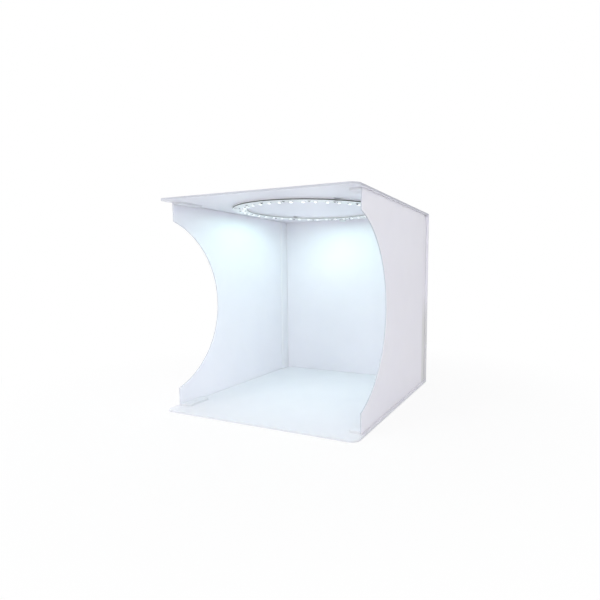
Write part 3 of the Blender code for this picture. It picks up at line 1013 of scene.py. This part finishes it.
        # The top edge is drawn from the outer half of the sheet, which leaves a fine groove inside
        outward = math.copysign(half_x / 2.0, middle.x)
        spans = [(self.floor_z, low.z + self.cover, middle.x, half_x)]
        if has_top:
            spans.append((high.z - self.cover, self.roof_z, middle.x + outward, half_x / 2.0))
        shape = Shape(f"{node}_drawn_edges")
        for bottom, top, x, half in spans:
            place = Matrix.Translation((x, middle.y, 0.0))
            shape.loft([rounded_box_ring(half, half_y, self.edge_corner, z) for z in (bottom, top)],
                       "drawn", place)
        shape.make(body, "white_sheet")

    def _upright(self, name: str, section: list[tuple[float, float]]) -> None:
        """Makes an upright strip of one level section, which rides with the back.

        Args:
            name: the piece's name.
            section: its outline seen from above.
        """
        shape = Shape(name)
        rings = [[Vector((x, y, z)) for x, y in section] for z in (self.floor_z, self.roof_z)]
        shape.loft(rings, "drawn")
        shape.make("back", "white_sheet")

    def _flap_front(self, side: Side) -> None:
        """Makes the front edge of a back flap, which thins out onto the wall.

        Args:
            side: the flap's side of the box.
        """
        out = side.value
        flap = f"{side.key}_back_flap"
        flap_x = side.inner_x(flap)
        wall_x = side.inner_x(f"{side.key}_wall") - out * CLEARANCE
        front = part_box(flap)[0].y
        lip = self.flap_lip
        across, forward = self.flap_ease
        self._upright(f"{flap}_drawn_front", [
            (flap_x + out * SUNK, front + self.lap), (flap_x + out * across, front - forward),
            (wall_x - out * lip, front - self.flap_skive),
            (wall_x, front - self.flap_skive + lip), (wall_x, front + self.lap)])

    def _flap_corner(self, side: Side) -> None:
        """Makes the small round in the corner between a back flap and the back board.

        Args:
            side: the flap's side of the box.
        """
        out = side.value
        flap = f"{side.key}_back_flap"
        back_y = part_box("back_board")[0].y
        flap_x = side.inner_x(flap)
        behind_x = flap_x + out * self.corner_tuck
        centre = (flap_x - out * self.corner_reach, back_y - self.corner_reach)
        section = []
        for step in range(self.corner_steps + 1):
            angle = math.pi / 2.0 * step / self.corner_steps
            section.append((
                centre[0] + out * self.corner_reach * math.cos(angle),
                centre[1] + self.corner_reach * math.sin(angle) - SUNK))
        section += [(behind_x, back_y - SUNK), (behind_x, back_y - self.corner_reach)]
        self._upright(f"{flap}_corner", section)

    def _trim_line(self, side: Side) -> None:
        """Makes the raised grey line along a spine strip's free edge, a line of painted shade.

        Args:
            side: the strip's side of the box.
        """
        strip = f"{side.key}_spine_strip"
        low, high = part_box(strip)
        face_x = side.outer_x(strip)
        depth = high.y - low.y - self.trim_inset
        rise = self.spine_round - self.trim_inset
        corner_z = high.z - self.spine_round
        path = []
        quarter = FINE_STEPS // 4
        for step in range(1, quarter + 1):
            angle = math.pi / 2.0 * (1.0 - step / quarter)
            path.append((
                Vector((0.0, low.y + depth * math.cos(angle), corner_z + rise * math.sin(angle))),
                Vector((0.0, rise * math.cos(angle), depth * math.sin(angle))).normalized()))
        path.append((
            Vector((0.0, low.y + depth, low.z + self.trim_inset)), Vector((0.0, 1.0, 0.0))))
        half = self.trim_width / 2.0
        crest = half * self.trim_crest_share
        section = (
            (-half, -self.trim_depth), (-crest, self.trim_height), (crest, self.trim_height),
            (half, -self.trim_depth))
        rings = []
        for point, way in path:
            rings.append([
                Vector((face_x + side.value * height, point.y + way.y * across, point.z + way.z * across))
                for across, height in section])
        shape = Shape(f"{strip}_trim_line")
        shape.loft(rings, "trim")
        shape.make("back", "white_sheet")


@dataclass
class RingLamp:
    """The ring lamp: its board, tape, tracks, forty diodes and twenty chip resistors."""

    lamp_count: int = 40
    lamp_circle: float = 81.3 * MM
    lamp_radial: float = 2.8 * MM
    lamp_along: float = 3.5 * MM
    cup_radius: float = 1.2 * MM
    cup_corner: float = 0.2 * MM
    cup_draft: float = 0.06 * MM
    cup_ease: float = 0.1 * MM
    cup_depth: float = 0.35 * MM
    cup_taper: float = 0.84
    # The dome of silicone: shares of the cup's radius, each with its depth in the cup in mm
    dome: tuple[tuple[float, float], ...] = ((0.84, 0.34), (0.95, 0.1), (0.7, 0.06), (0.3, 0.04))
    # Rings of a lead and of its solder: half of their x and y sizes and their corners' radius, in mm
    lead_width: float = 0.3 * MM
    lead_heights: tuple[float, ...] = (-0.05 * MM, -0.75 * MM, -0.82 * MM)
    lead_mm: tuple[tuple[float, float, float], ...] = (
        (1.05, 0.15, 0.05), (1.05, 0.15, 0.05), (0.98, 0.09, 0.05))
    lead_solder_reach: float = 0.12 * MM
    lead_solder_heights: tuple[float, ...] = (0.0, -0.06 * MM, -0.2 * MM, -0.45 * MM)
    lead_solder_mm: tuple[tuple[float, float, float], ...] = (
        (1.25, 0.38, 0.12), (1.2, 0.33, 0.12), (1.08, 0.2, 0.1), (1.0, 0.14, 0.08))
    resistor_count: int = 20
    resistor_circle: float = 85.9 * MM
    resistor_radial: float = 1.25 * MM
    resistor_along: float = 2.0 * MM
    chip_height: float = 0.55 * MM
    chip_corner: float = 0.06 * MM
    # The blank stands in from the chip's sides, ends and lower face
    blank_inset: float = 0.03 * MM
    blank_end: float = 0.06 * MM
    blank_cover: float = 0.08 * MM
    # The coat laps the blank's upper edge, and its rim slopes off this far across, along and down
    coat_lap: float = 0.01 * MM
    coat_slope: tuple[float, float, float] = (0.12 * MM, 0.1 * MM, 0.05 * MM)
    # The caps wrap the ends and slope off inwards between two heights over the chip's lower face
    cap_length: float = 0.4 * MM
    cap_slope: float = 0.05 * MM
    cap_heights: tuple[float, float] = (0.09 * MM, 0.04 * MM)
    # The solder has its foot by the board and climbs to two depths below the chip's upper face
    solder_foot: float = 0.08 * MM
    solder_climb: tuple[float, float] = (0.05 * MM, 0.3 * MM)
    cap_solder_mm: tuple[tuple[float, float, float], ...] = (
        (0.8, 0.6, 0.2), (0.74, 0.52, 0.2), (0.6, 0.34, 0.15), (0.5, 0.18, 0.1))
    track_height: float = 0.07 * MM
    track_width: float = 1.6 * MM
    track_slope: float = 0.06 * MM
    # What a track keeps clear of a diode and of a resistor
    diode_clear: float = 0.4 * MM
    resistor_clear: float = 0.5 * MM
    track_steps: int = 6
    rim_ease: float = 0.12 * MM
    tape_inset: float = 0.4 * MM
    tape_part_count: int = 4
    rivet_circle: float = 90.0 * MM
    rivet_clear: float = 3.2 * MM
    centre: Vector = field(init=False)
    lamp_bottom: float = field(init=False)
    chip_bottom: float = field(init=False)

    def build(self) -> None:
        """Makes the lamp's parts and dresses its board."""
        self.centre = middle_of("ring_board")
        self.centre.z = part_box("ring_board")[0].z
        self.lamp_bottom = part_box("lamp_array")[0].z
        self.chip_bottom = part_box("resistor_array")[0].z
        dress_node("ring_board", "board", self.rim_ease)
        self._tape()
        self._diodes()
        self._resistors()
        self._tracks()

    def _tape(self) -> None:
        """Makes the foam tape between the ring board and the roof, in lengths that clear the rivets."""
        low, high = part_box("ring_board")
        roof_low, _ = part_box("roof_board")
        outer = (high.x - low.x) / 2.0 - self.tape_inset
        inner = self.lamp_circle - self.lamp_radial - self.tape_inset * 5.0
        bottom = high.z - SUNK
        top = roof_low.z + SUNK
        margin = self.rivet_clear / self.rivet_circle
        steps = FINE_STEPS // self.tape_part_count * 2
        middle = Vector((self.centre.x, self.centre.y, 0.0))
        shape = Shape("ring_lamp_foam_tape")
        for part in range(self.tape_part_count):
            start = math.tau * (part + 0.5) / self.tape_part_count + margin
            end = math.tau * (part + 1.5) / self.tape_part_count - margin
            rings = []
            for step in range(steps + 1):
                angle = start + (end - start) * step / steps
                out = level_way(angle)
                rings.append([
                    middle + out * radius + Vector((0.0, 0.0, z))
                    for radius, z in ((inner, bottom), (outer, bottom), (outer, top), (inner, top))])
            shape.loft(rings, "foam")
        shape.make("roof", "lamp_board")

    def _seat(self, radius: float, angle: float) -> Matrix:
        """Gives the place of a part on the board's underside, x outwards and z up.

        Args:
            radius: how far it stands from the ring's centre.
            angle: where it stands, from the x axis.

        Returns:
            The place, from the part's own axes.
        """
        return (
            Matrix.Translation(self.centre) @ Matrix.Rotation(angle, 4, "Z")
            @ Matrix.Translation((radius, 0.0, 0.0)))

    def _angles(self, count: int) -> list[float]:
        """Gives the angles of evenly spaced parts, the first half a step past the x axis."""
        return [math.tau * (number + 0.5) / count for number in range(count)]

    def _diodes(self) -> None:
        """Makes the diode packages: moulded cup, domed phosphor, leads and solder."""
        shape = Shape("ring_lamp_diodes")
        bottom = self.lamp_bottom - self.centre.z
        half_x = self.lamp_radial / 2.0
        half_y = self.lamp_along / 2.0 - self.lead_width / 2.0
        ease = self.cup_ease
        cup = [
            rounded_box_ring(half_x - self.cup_draft, half_y - self.cup_draft, self.cup_corner, 0.0),
            rounded_box_ring(half_x, half_y, self.cup_corner, bottom * 0.5),
            rounded_box_ring(half_x, half_y, self.cup_corner, bottom + ease),
            rounded_box_ring(half_x - ease, half_y - ease, self.cup_corner * 0.9, bottom),
            self._cup_ring(self.cup_radius, bottom),
            self._cup_ring(self.cup_radius * self.cup_taper, bottom + self.cup_depth),
        ]
        dome = [(self.cup_radius * share, bottom + depth * MM) for share, depth in self.dome]
        for angle in self._angles(self.lamp_count):
            place = self._seat(self.lamp_circle, angle)
            shape.loft(cup, "cup", place)
            shape.turned(dome, "phosphor", place, SMALL_STEPS)
            for end in (-1.0, 1.0):
                self._lead(shape, place, end)
        shape.make("roof", "lamp", ("lamp_array",))

    def _cup_ring(self, radius: float, height: float) -> list[Vector]:
        """Gives a circle whose points face those of a rectangle with round corners.

        Args:
            radius: the circle's radius.
            height: its z.

        Returns:
            The points, anticlockwise, as many for each corner.
        """
        each = SMALL_STEPS // 4
        gap = 0.08
        points = []
        for quarter in range(4):
            for step in range(each):
                angle = (quarter + gap + (1.0 - 2.0 * gap) * step / (each - 1)) * math.pi / 2.0
                points.append(Vector((radius * math.cos(angle), radius * math.sin(angle), height)))
        return points

    def _lead(self, shape: Shape, place: Matrix, end: float) -> None:
        """Adds a lead at one end of a diode, with the solder that runs up it.

        Args:
            shape: the piece that gathers the diodes.
            place: the diode's place on the board.
            end: which end, as the sign of its local y.
        """
        seat_y = end * (self.lamp_along / 2.0 - self.lead_width / 2.0)
        lead = place @ Matrix.Translation((0.0, seat_y, 0.0))
        shape.loft(small_rings(self.lead_mm, self.lead_heights), "tin", lead)
        solder_y = end * (self.lamp_along / 2.0 + self.lead_solder_reach)
        solder = place @ Matrix.Translation((0.0, solder_y, 0.0))
        shape.loft(small_rings(self.lead_solder_mm, self.lead_solder_heights), "tin", solder)

    def _resistors(self) -> None:
        """Makes the chip resistors: alumina blank, black overglaze, tinned ends and solder."""
        shape = Shape("ring_lamp_resistors")
        bottom = self.chip_bottom - self.centre.z
        top = bottom + self.chip_height
        half_x = self.resistor_radial / 2.0
        half_y = self.resistor_along / 2.0
        corner = self.chip_corner
        blank_x = half_x - self.blank_inset
        blank_y = half_y - self.blank_end
        coat_y = half_y - self.cap_length
        half_cap = self.cap_length / 2.0
        cap_y = half_y - half_cap
        solder_y = half_y + SUNK
        blank = [
            rounded_box_ring(blank_x, blank_y, self.blank_inset, z)
            for z in (top, bottom + self.blank_cover)]
        across, along, down = self.coat_slope
        coat = [rounded_box_ring(half_x, coat_y, corner, z) for z in (top + self.coat_lap, bottom + down)]
        coat.append(rounded_box_ring(half_x - across, coat_y - along, corner, bottom))
        slope = self.cap_slope
        shoulder, crest = self.cap_heights
        cap = [rounded_box_ring(half_x, half_cap, corner, z) for z in (top + SUNK, bottom + shoulder)]
        cap.append(rounded_box_ring(half_x - slope, half_cap - slope, slope, bottom + crest))
        low_climb, high_climb = self.solder_climb
        solder = small_rings(
            self.cap_solder_mm, (0.0, -self.solder_foot, top - low_climb, top - high_climb))
        for angle in self._angles(self.resistor_count):
            place = self._seat(self.resistor_circle, angle)
            shape.loft(blank, "alumina", place)
            shape.loft(coat, "overglaze", place)
            for end in (-1.0, 1.0):
                shape.loft(cap, "tin", place @ Matrix.Translation((0.0, end * cap_y, 0.0)))
                shape.loft(solder, "tin", place @ Matrix.Translation((0.0, end * solder_y, 0.0)))
        shape.make("roof", "resistor", ("resistor_array",))

    def _tracks(self) -> None:
        """Makes the raised lines where copper runs under the mask, between neighbours on a circle."""
        shape = Shape("ring_lamp_tracks")
        lanes = (
            (self.lamp_circle, self.lamp_count, self.lamp_along / 2.0 + self.diode_clear,
             self.track_width),
            (self.resistor_circle, self.resistor_count, self.resistor_along / 2.0 + self.resistor_clear,
             self.track_width * 0.5))
        for radius, count, clear, width in lanes:
            step = math.tau / count
            margin = clear / radius
            for angle in self._angles(count):
                self._arc(shape, radius, width, angle + margin, angle + step - margin)
        shape.make("roof", "lamp_board")

    def _arc(self, shape: Shape, radius: float, width: float, start: float, end: float) -> None:
        """Adds one raised arc to the board's underside.

        Args:
            shape: the piece that gathers the tracks.
            radius: the middle of the track.
            width: the track's width.
            start: the angle where it starts.
            end: the angle where it ends.
        """
        half = width / 2.0
        crest = half - self.track_slope
        section = (
            (radius - half, SUNK), (radius + half, SUNK),
            (radius + crest, -self.track_height), (radius - crest, -self.track_height))
        rings = []
        for step in range(self.track_steps + 1):
            angle = start + (end - start) * step / self.track_steps
            out = level_way(angle)
            rings.append([self.centre + out * r + Vector((0.0, 0.0, z)) for r, z in section])
        shape.loft(rings, "board")


@dataclass
class PushRivet:
    """One moulded push rivet: head with its pin, shank, collar and a foot of four sprung jaws."""

    key: str
    shank_radius: float = 1.2 * MM
    pin_radius: float = 1.25 * MM
    pin_gap: float = 0.2 * MM
    pin_depth: float = 0.5 * MM
    pin_ease: float = 0.12 * MM
    groove_ease: float = 0.08 * MM
    # Shank, collar and foot reach this far into each other
    shank_lap: float = 0.2 * MM
    # Head, collar and foot each keep this much from what they hold
    play: float = 0.3 * MM
    collar_radius: float = 2.6 * MM
    foot_radius: float = 2.2 * MM
    toe_radius: float = 1.3 * MM
    toe_ease: tuple[float, float] = (0.15 * MM, 0.08 * MM)
    bore_radius: float = 0.45 * MM
    barb_height: float = 0.3 * MM
    head_edge: float = 0.25 * MM
    ease: float = 0.1 * MM
    # The head's crown: in from its rim and down from its top, in mm
    crown_mm: tuple[tuple[float, float], ...] = ((0.0, 0.55), (0.35, 0.22), (0.9, 0.05))
    # The dish in the pin's end: radius and depth, in mm
    dish_mm: tuple[tuple[float, float], ...] = ((0.55, 0.1), (0.15, 0.14))
    jaw_count: int = 4
    jaw_steps: int = 8
    slit_share: float = 0.12

    def build(self) -> None:
        """Makes the rivet in the place of its CAD node."""
        low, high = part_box(self.key)
        roof_low, roof_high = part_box("roof_board")
        ring_low, ring_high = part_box("ring_board")
        middle = middle_of(self.key)
        place = Matrix.Translation((middle.x, middle.y, 0.0))
        head = (high.x - low.x) / 2.0
        seat = roof_high.z + self.play
        top = high.z
        groove = self.pin_radius + self.pin_gap
        ease = self.ease
        crown = [(head - inward * MM, top - down * MM) for inward, down in self.crown_mm]
        dish = [(radius * MM, top - down * MM) for radius, down in self.dish_mm]
        shape = Shape(self.key + "_moulding")
        shape.turned([
            (head - self.head_edge, seat), (head, seat + self.head_edge), *crown,
            (groove + ease, top), (groove, top - self.groove_ease), (groove, top - self.pin_depth)],
            "nylon", place)
        shape.turned([
            (self.pin_radius, top - self.pin_depth), (self.pin_radius, top - self.pin_ease),
            (self.pin_radius - self.pin_ease, top - SUNK), *dish], "nylon", place, SMALL_STEPS)
        collar_top = roof_low.z - self.play
        collar_bottom = ring_high.z + self.play
        foot_top = ring_low.z - self.play
        shape.turned([
            (self.shank_radius, seat + ease), (self.shank_radius, collar_top - SUNK),
            (self.shank_radius, foot_top), (self.shank_radius, foot_top - self.shank_lap)],
            "nylon", place, SMALL_STEPS)
        inside = self.shank_radius - self.shank_lap
        shape.turned([
            (inside, collar_top), (self.collar_radius - ease, collar_top),
            (self.collar_radius, collar_top - ease), (self.collar_radius, collar_bottom + ease),
            (self.collar_radius - ease, collar_bottom), (inside, collar_bottom)], "nylon", place)
        foot = self.foot_radius
        toe = self.toe_radius
        bore = self.bore_radius
        toe_out, toe_up = self.toe_ease
        section = (
            (bore, foot_top), (foot - ease, foot_top), (foot, foot_top - ease),
            (foot - ease, foot_top - self.barb_height), (toe + toe_out, low.z + toe_up),
            (toe, low.z), (bore + ease, low.z), (bore, low.z + ease))
        jaw = math.tau / self.jaw_count
        for number in range(self.jaw_count):
            start = jaw * (number + self.slit_share / 2.0)
            rings = []
            for step in range(self.jaw_steps + 1):
                angle = start + jaw * (1.0 - self.slit_share) * step / self.jaw_steps
                rings.append([
                    Vector((radius * math.cos(angle), radius * math.sin(angle), height))
                    for radius, height in section])
            shape.loft(rings, "nylon", place)
        shape.make("roof", "nylon", (self.key,))


@dataclass
class PowerInlet:
    """The ring's power inlet: a pressed shell with a flared mouth, its legs and a contact tongue."""

    wall: float = 0.3 * MM
    floor: float = 0.9 * MM
    corner: float = 0.7 * MM
    least_corner: float = 0.15 * MM
    flare: float = 0.12 * MM
    mouth: float = 0.8 * MM
    # The closed end is eased across and along
    end_ease: tuple[float, float] = (0.15 * MM, 0.2 * MM)
    # The mouth's rim: its outer edge, its crest, and its inner edge, in by a share of the wall
    rim_outer: float = 0.1 * MM
    rim_crest: float = 0.08 * MM
    rim_inner: float = 0.05 * MM
    rim_share: float = 0.7
    # The legs stand at these shares of the inlet's length
    leg_shares: tuple[float, float] = (0.25, 0.7)
    leg_inset: float = 0.5 * MM
    leg_start: float = 0.15 * MM
    leg_sunk: float = 0.2 * MM
    leg_waist_share: float = 0.55
    leg_mm: tuple[tuple[float, float, float], ...] = (
        (0.35, 0.5, 0.08), (0.35, 0.5, 0.08), (0.75, 0.85, 0.3))
    contact_count: int = 5
    contact_pitch: float = 0.65 * MM
    contact_width: float = 0.35 * MM
    contact_end: float = 0.45 * MM
    contact_shift: float = 0.2 * MM
    contact_corner: float = 0.05 * MM
    contact_heights: tuple[float, float] = (0.04 * MM, -0.05 * MM)
    tongue_ease: float = 0.12 * MM
    tongue_sunk: float = 0.4 * MM
    tongue_corners: tuple[float, float] = (0.1 * MM, 0.08 * MM)

    def build(self) -> None:
        """Makes the shell, its legs and the tongue with its contacts."""
        low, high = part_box("power_inlet")
        half_x, half_z, turn = self._lie("power_inlet")
        shape = Shape("power_inlet_shell")

        def ring(shrink: float, y: float) -> list[Vector]:
            """Gives the shell's section, drawn in by a length, at a place along the inlet."""
            corner = max(self.corner - shrink, self.least_corner)
            return rounded_box_ring(half_x - shrink, half_z - shrink, corner, y, FINE_STEPS)

        flared = self.flare
        mouth = high.y - self.mouth
        across, along = self.end_ease
        shape.loft([
            ring(flared + across, low.y), ring(flared, low.y + along), ring(flared, mouth),
            ring(0.0, high.y - self.rim_outer), ring(self.rim_crest, high.y),
            ring(self.wall * self.rim_share, high.y - self.rim_inner), ring(flared + self.wall, mouth),
            ring(flared + self.wall, low.y + self.floor)], "shell", turn)
        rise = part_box("ring_board")[0].z - high.z + self.leg_sunk
        leg_heights = (0.0, rise * self.leg_waist_share, rise)
        for side in Side:
            for share in self.leg_shares:
                leg = Matrix.Translation((
                    side.value * (half_x - self.leg_inset), low.y + (high.y - low.y) * share,
                    high.z - self.leg_start))
                shape.loft(small_rings(self.leg_mm, leg_heights), "tin", leg)
        shape.make("roof", "inlet_shell", ("power_inlet",))
        self._tongue()

    def _lie(self, node: str) -> tuple[float, float, Matrix]:
        """Measures a node that lies along y.

        Args:
            node: the node's name.

        Returns:
            Half of its width, half of its height, and the place that lays level rings along it.
        """
        low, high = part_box(node)
        middle = middle_of(node)
        place = Matrix.Translation((middle.x, 0.0, middle.z)) @ Matrix.Rotation(math.radians(-90.0), 4, "X")
        return (high.x - low.x) / 2.0, (high.z - low.z) / 2.0, place

    def _tongue(self) -> None:
        """Makes the tongue with its row of contacts."""
        low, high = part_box("power_inlet_tongue")
        middle = middle_of("power_inlet_tongue")
        half_x, half_z, turn = self._lie("power_inlet_tongue")
        shape = Shape("power_inlet_tongue_moulding")
        ease = self.tongue_ease
        corner, tip_corner = self.tongue_corners
        shape.loft([
            rounded_box_ring(half_x, half_z, corner, low.y - self.tongue_sunk),
            rounded_box_ring(half_x, half_z, corner, high.y - ease * 2.0),
            rounded_box_ring(half_x - ease, half_z - ease, tip_corner, high.y)], "carrier", turn)
        for number in range(self.contact_count):
            x = (number - (self.contact_count - 1) / 2.0) * self.contact_pitch
            shift = self.contact_shift
            strip = Matrix.Translation((middle.x + x, (low.y + high.y) / 2.0 + shift, low.z))
            half_y = (high.y - low.y) / 2.0 - self.contact_end
            shape.loft([
                rounded_box_ring(self.contact_width / 2.0, half_y, self.contact_corner, z)
                for z in self.contact_heights], "gold", strip)
        shape.make("roof", "inlet_tongue", ("power_inlet_tongue",))


@dataclass(frozen=True)
class StudioFloor:
    """Seamless white paper sweep, lit to white for the camera, that keeps a soft shadow."""

    paper_hex: str = "F7F7F8"
    fibre_hex: str = "F5F5F6"
    shade_share: float = 0.12
    # The sweep's own shade fades out between these distances, so that no horizon shows
    fade_start: float = 0.16
    fade_end: float = 0.45
    fibre_mm: float = 3.0
    radius: float = 6.0

    def build(self) -> None:
        """Makes the floor and its material."""
        material, tree = open_material("seamless_white_paper")
        place = add_node(tree, "ShaderNodeTexCoord")
        fibre = add_node(tree, "ShaderNodeTexNoise", inputs={
            "Vector": place.outputs["Object"], "Scale": PER_MM / self.fibre_mm, "Detail": 2.0})
        colour = add_node(tree, "ShaderNodeMix", {"data_type": "RGBA"}, {
            0: fibre.outputs["Fac"], 6: linear(self.paper_hex), 7: linear(self.fibre_hex)})
        paper = add_node(tree, "ShaderNodeBsdfDiffuse", inputs={"Color": colour.outputs[2]})
        white = add_node(tree, "ShaderNodeEmission", inputs={"Strength": 1.0})
        distance = add_node(tree, "ShaderNodeVectorMath", {"operation": "LENGTH"}, {
            0: place.outputs["Object"]})
        white_share = add_node(tree, "ShaderNodeMapRange", {"interpolation_type": "SMOOTHSTEP"}, {
            "Value": distance.outputs["Value"], "From Min": self.fade_start, "From Max": self.fade_end,
            "To Min": 1.0 - self.shade_share})
        lift = add_node(tree, "ShaderNodeMath", {"operation": "MULTIPLY"}, {
            0: seen_directly(tree), 1: white_share.outputs[0]})
        mix = add_node(tree, "ShaderNodeMixShader", inputs={
            0: lift.outputs[0], 1: paper.outputs[0], 2: white.outputs[0]})
        close_material(tree, mix.outputs[0])
        data = bpy.data.meshes.new("studio_floor")
        rim = circle(self.radius, -0.02 * MM)
        data.from_pydata([tuple(point) for point in rim], [], [tuple(range(len(rim)))])
        data.materials.append(material)
        floor = add_object("studio_floor", data)


@dataclass(frozen=True)
class SoftBox:
    """One soft studio lamp: a square panel that faces a point."""

    name: str
    place: tuple[float, float, float]
    size: float
    power: float
    target: tuple[float, float, float] = (0.0, 0.0, 0.1)

    def build(self) -> None:
        """Makes the lamp and turns it to its target."""
        data = bpy.data.lights.new(self.name, "AREA")
        data.shape = "SQUARE"
        data.size = self.size
        data.energy = self.power
        lamp = add_object(self.name, data)
        way = Vector(self.target) - Vector(self.place)
        lamp.location = self.place
        lamp.rotation_euler = way.to_track_quat("-Z", "Y").to_euler()


@dataclass(frozen=True)
class RingGlow:
    """The light that the ring's diodes throw: small cool lamps under them, which ride with the roof."""

    count: int = 20
    circle_radius: float = 81.3 * MM
    disc: float = 6.0 * MM
    drop: float = 1.4 * MM
    power: float = 0.0066
    colour: tuple[float, float, float] = (0.63, 0.98, 0.86)

    def build(self) -> None:
        """Makes the small lamps, evenly spaced on the diodes' circle."""
        centre = middle_of("ring_board")
        centre.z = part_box("ring_board")[0].z - self.drop
        for number in range(self.count):
            angle = math.tau * (number + 0.5) / self.count
            data = bpy.data.lights.new(f"diode_glow_{number}", "AREA")
            data.shape = "DISK"
            data.size = self.disc
            data.energy = self.power
            data.color = self.colour
            lamp = add_object(data.name, data)
            lamp.location = centre + level_way(angle) * self.circle_radius
            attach(lamp, "roof")


@dataclass(frozen=True)
class SheetGlow:
    """The even light that the milky sheets pass on into the box: one dim, round lamp under the roof."""

    place: tuple[float, float, float] = (-0.03, 0.06, 0.17)
    radius: float = 20.0 * MM
    power: float = 0.025

    def build(self) -> None:
        """Makes the lamp, which stays with the studio when the box is folded."""
        data = bpy.data.lights.new("sheet_glow", "POINT")
        data.shadow_soft_size = self.radius
        data.energy = self.power
        add_object("sheet_glow", data).location = self.place


@dataclass(frozen=True)
class Studio:
    """Pale surroundings, soft lamps and the camera at the photograph's viewpoint."""

    ambient: float = 0.4
    ambient_hex: str = "F7F7FA"
    camera_place: tuple[float, float, float] = (0.26587, -0.48477, 0.15506)
    camera_pitch: float = 84.31
    camera_turn: float = 24.325
    lens_mm: float = 26.94
    shift: tuple[float, float] = (-0.07497, 0.02552)

    def build(self) -> None:
        """Makes the world, the floor, the lamps and the camera."""
        self._world()
        StudioFloor().build()
        for lamp in (
            SoftBox("left_front_softbox", (-1.5, -1.5, 1.0), 1.4, 19.2),
            SoftBox("right_front_softbox", (1.2, -1.6, 1.0), 1.4, 10.5),
            SoftBox("low_front_softbox", (0.2, -1.8, 0.2), 0.8, 3.7),
            SoftBox("right_softbox", (1.6, -0.6, 0.9), 1.4, 7.0),
            SoftBox("left_softbox", (-1.8, 0.0, 0.6), 1.4, 8.5),
            SoftBox("top_softbox", (0.0, 0.2, 2.2), 1.8, 2.9),
            SoftBox("rear_softbox", (-0.9, 1.9, 0.7), 1.4, 15.0),
        ):
            lamp.build()
        RingGlow().build()
        SheetGlow().build()
        self._camera()
        bpy.context.scene.view_settings.view_transform = "Standard"

    def _world(self) -> None:
        """Makes surroundings that are white to the camera and a level, pale light to the object."""
        world = bpy.data.worlds.new("pale_studio")
        bpy.context.scene.world = world
        world.use_nodes = True
        tree = world.node_tree
        tree.nodes.clear()
        light = add_node(tree, "ShaderNodeBackground", inputs={
            "Color": linear(self.ambient_hex), "Strength": self.ambient})
        white = add_node(tree, "ShaderNodeBackground", inputs={"Strength": 1.0, "Color": linear("FFFFFF")})
        mix = add_node(tree, "ShaderNodeMixShader", inputs={
            0: seen_directly(tree), 1: light.outputs[0], 2: white.outputs[0]})
        add_node(tree, "ShaderNodeOutputWorld", inputs={"Surface": mix.outputs[0]})

    def _camera(self) -> None:
        """Makes the camera at the photograph's viewpoint."""
        data = bpy.data.cameras.new("photo_camera")
        data.lens = self.lens_mm
        data.sensor_width = 36.0
        data.shift_x = self.shift[0]
        data.shift_y = self.shift[1]
        data.clip_start = 1.0 * MM
        camera = add_object("photo_camera", data)
        camera.location = self.camera_place
        camera.rotation_euler = (math.radians(self.camera_pitch), 0.0, math.radians(self.camera_turn))
        bpy.context.scene.camera = camera


def main() -> None:
    """Builds and dresses every sub-assembly in order, then the studio."""
    logging.basicConfig(level=logging.INFO, format="%(name)s: %(message)s")
    SheetBox().dress()
    BoardCreases().build()
    WallCreases().build()
    for side in Side:
        for level in Level:
            CornerCatch(side, level).build()
    SheetSeams().build()
    RingLamp().build()
    for corner in ("front_left", "front_right", "rear_right", "rear_left"):
        PushRivet(corner + "_rivet").build()
    PowerInlet().build()
    Studio().build()


if __name__ == "__main__":
    main()
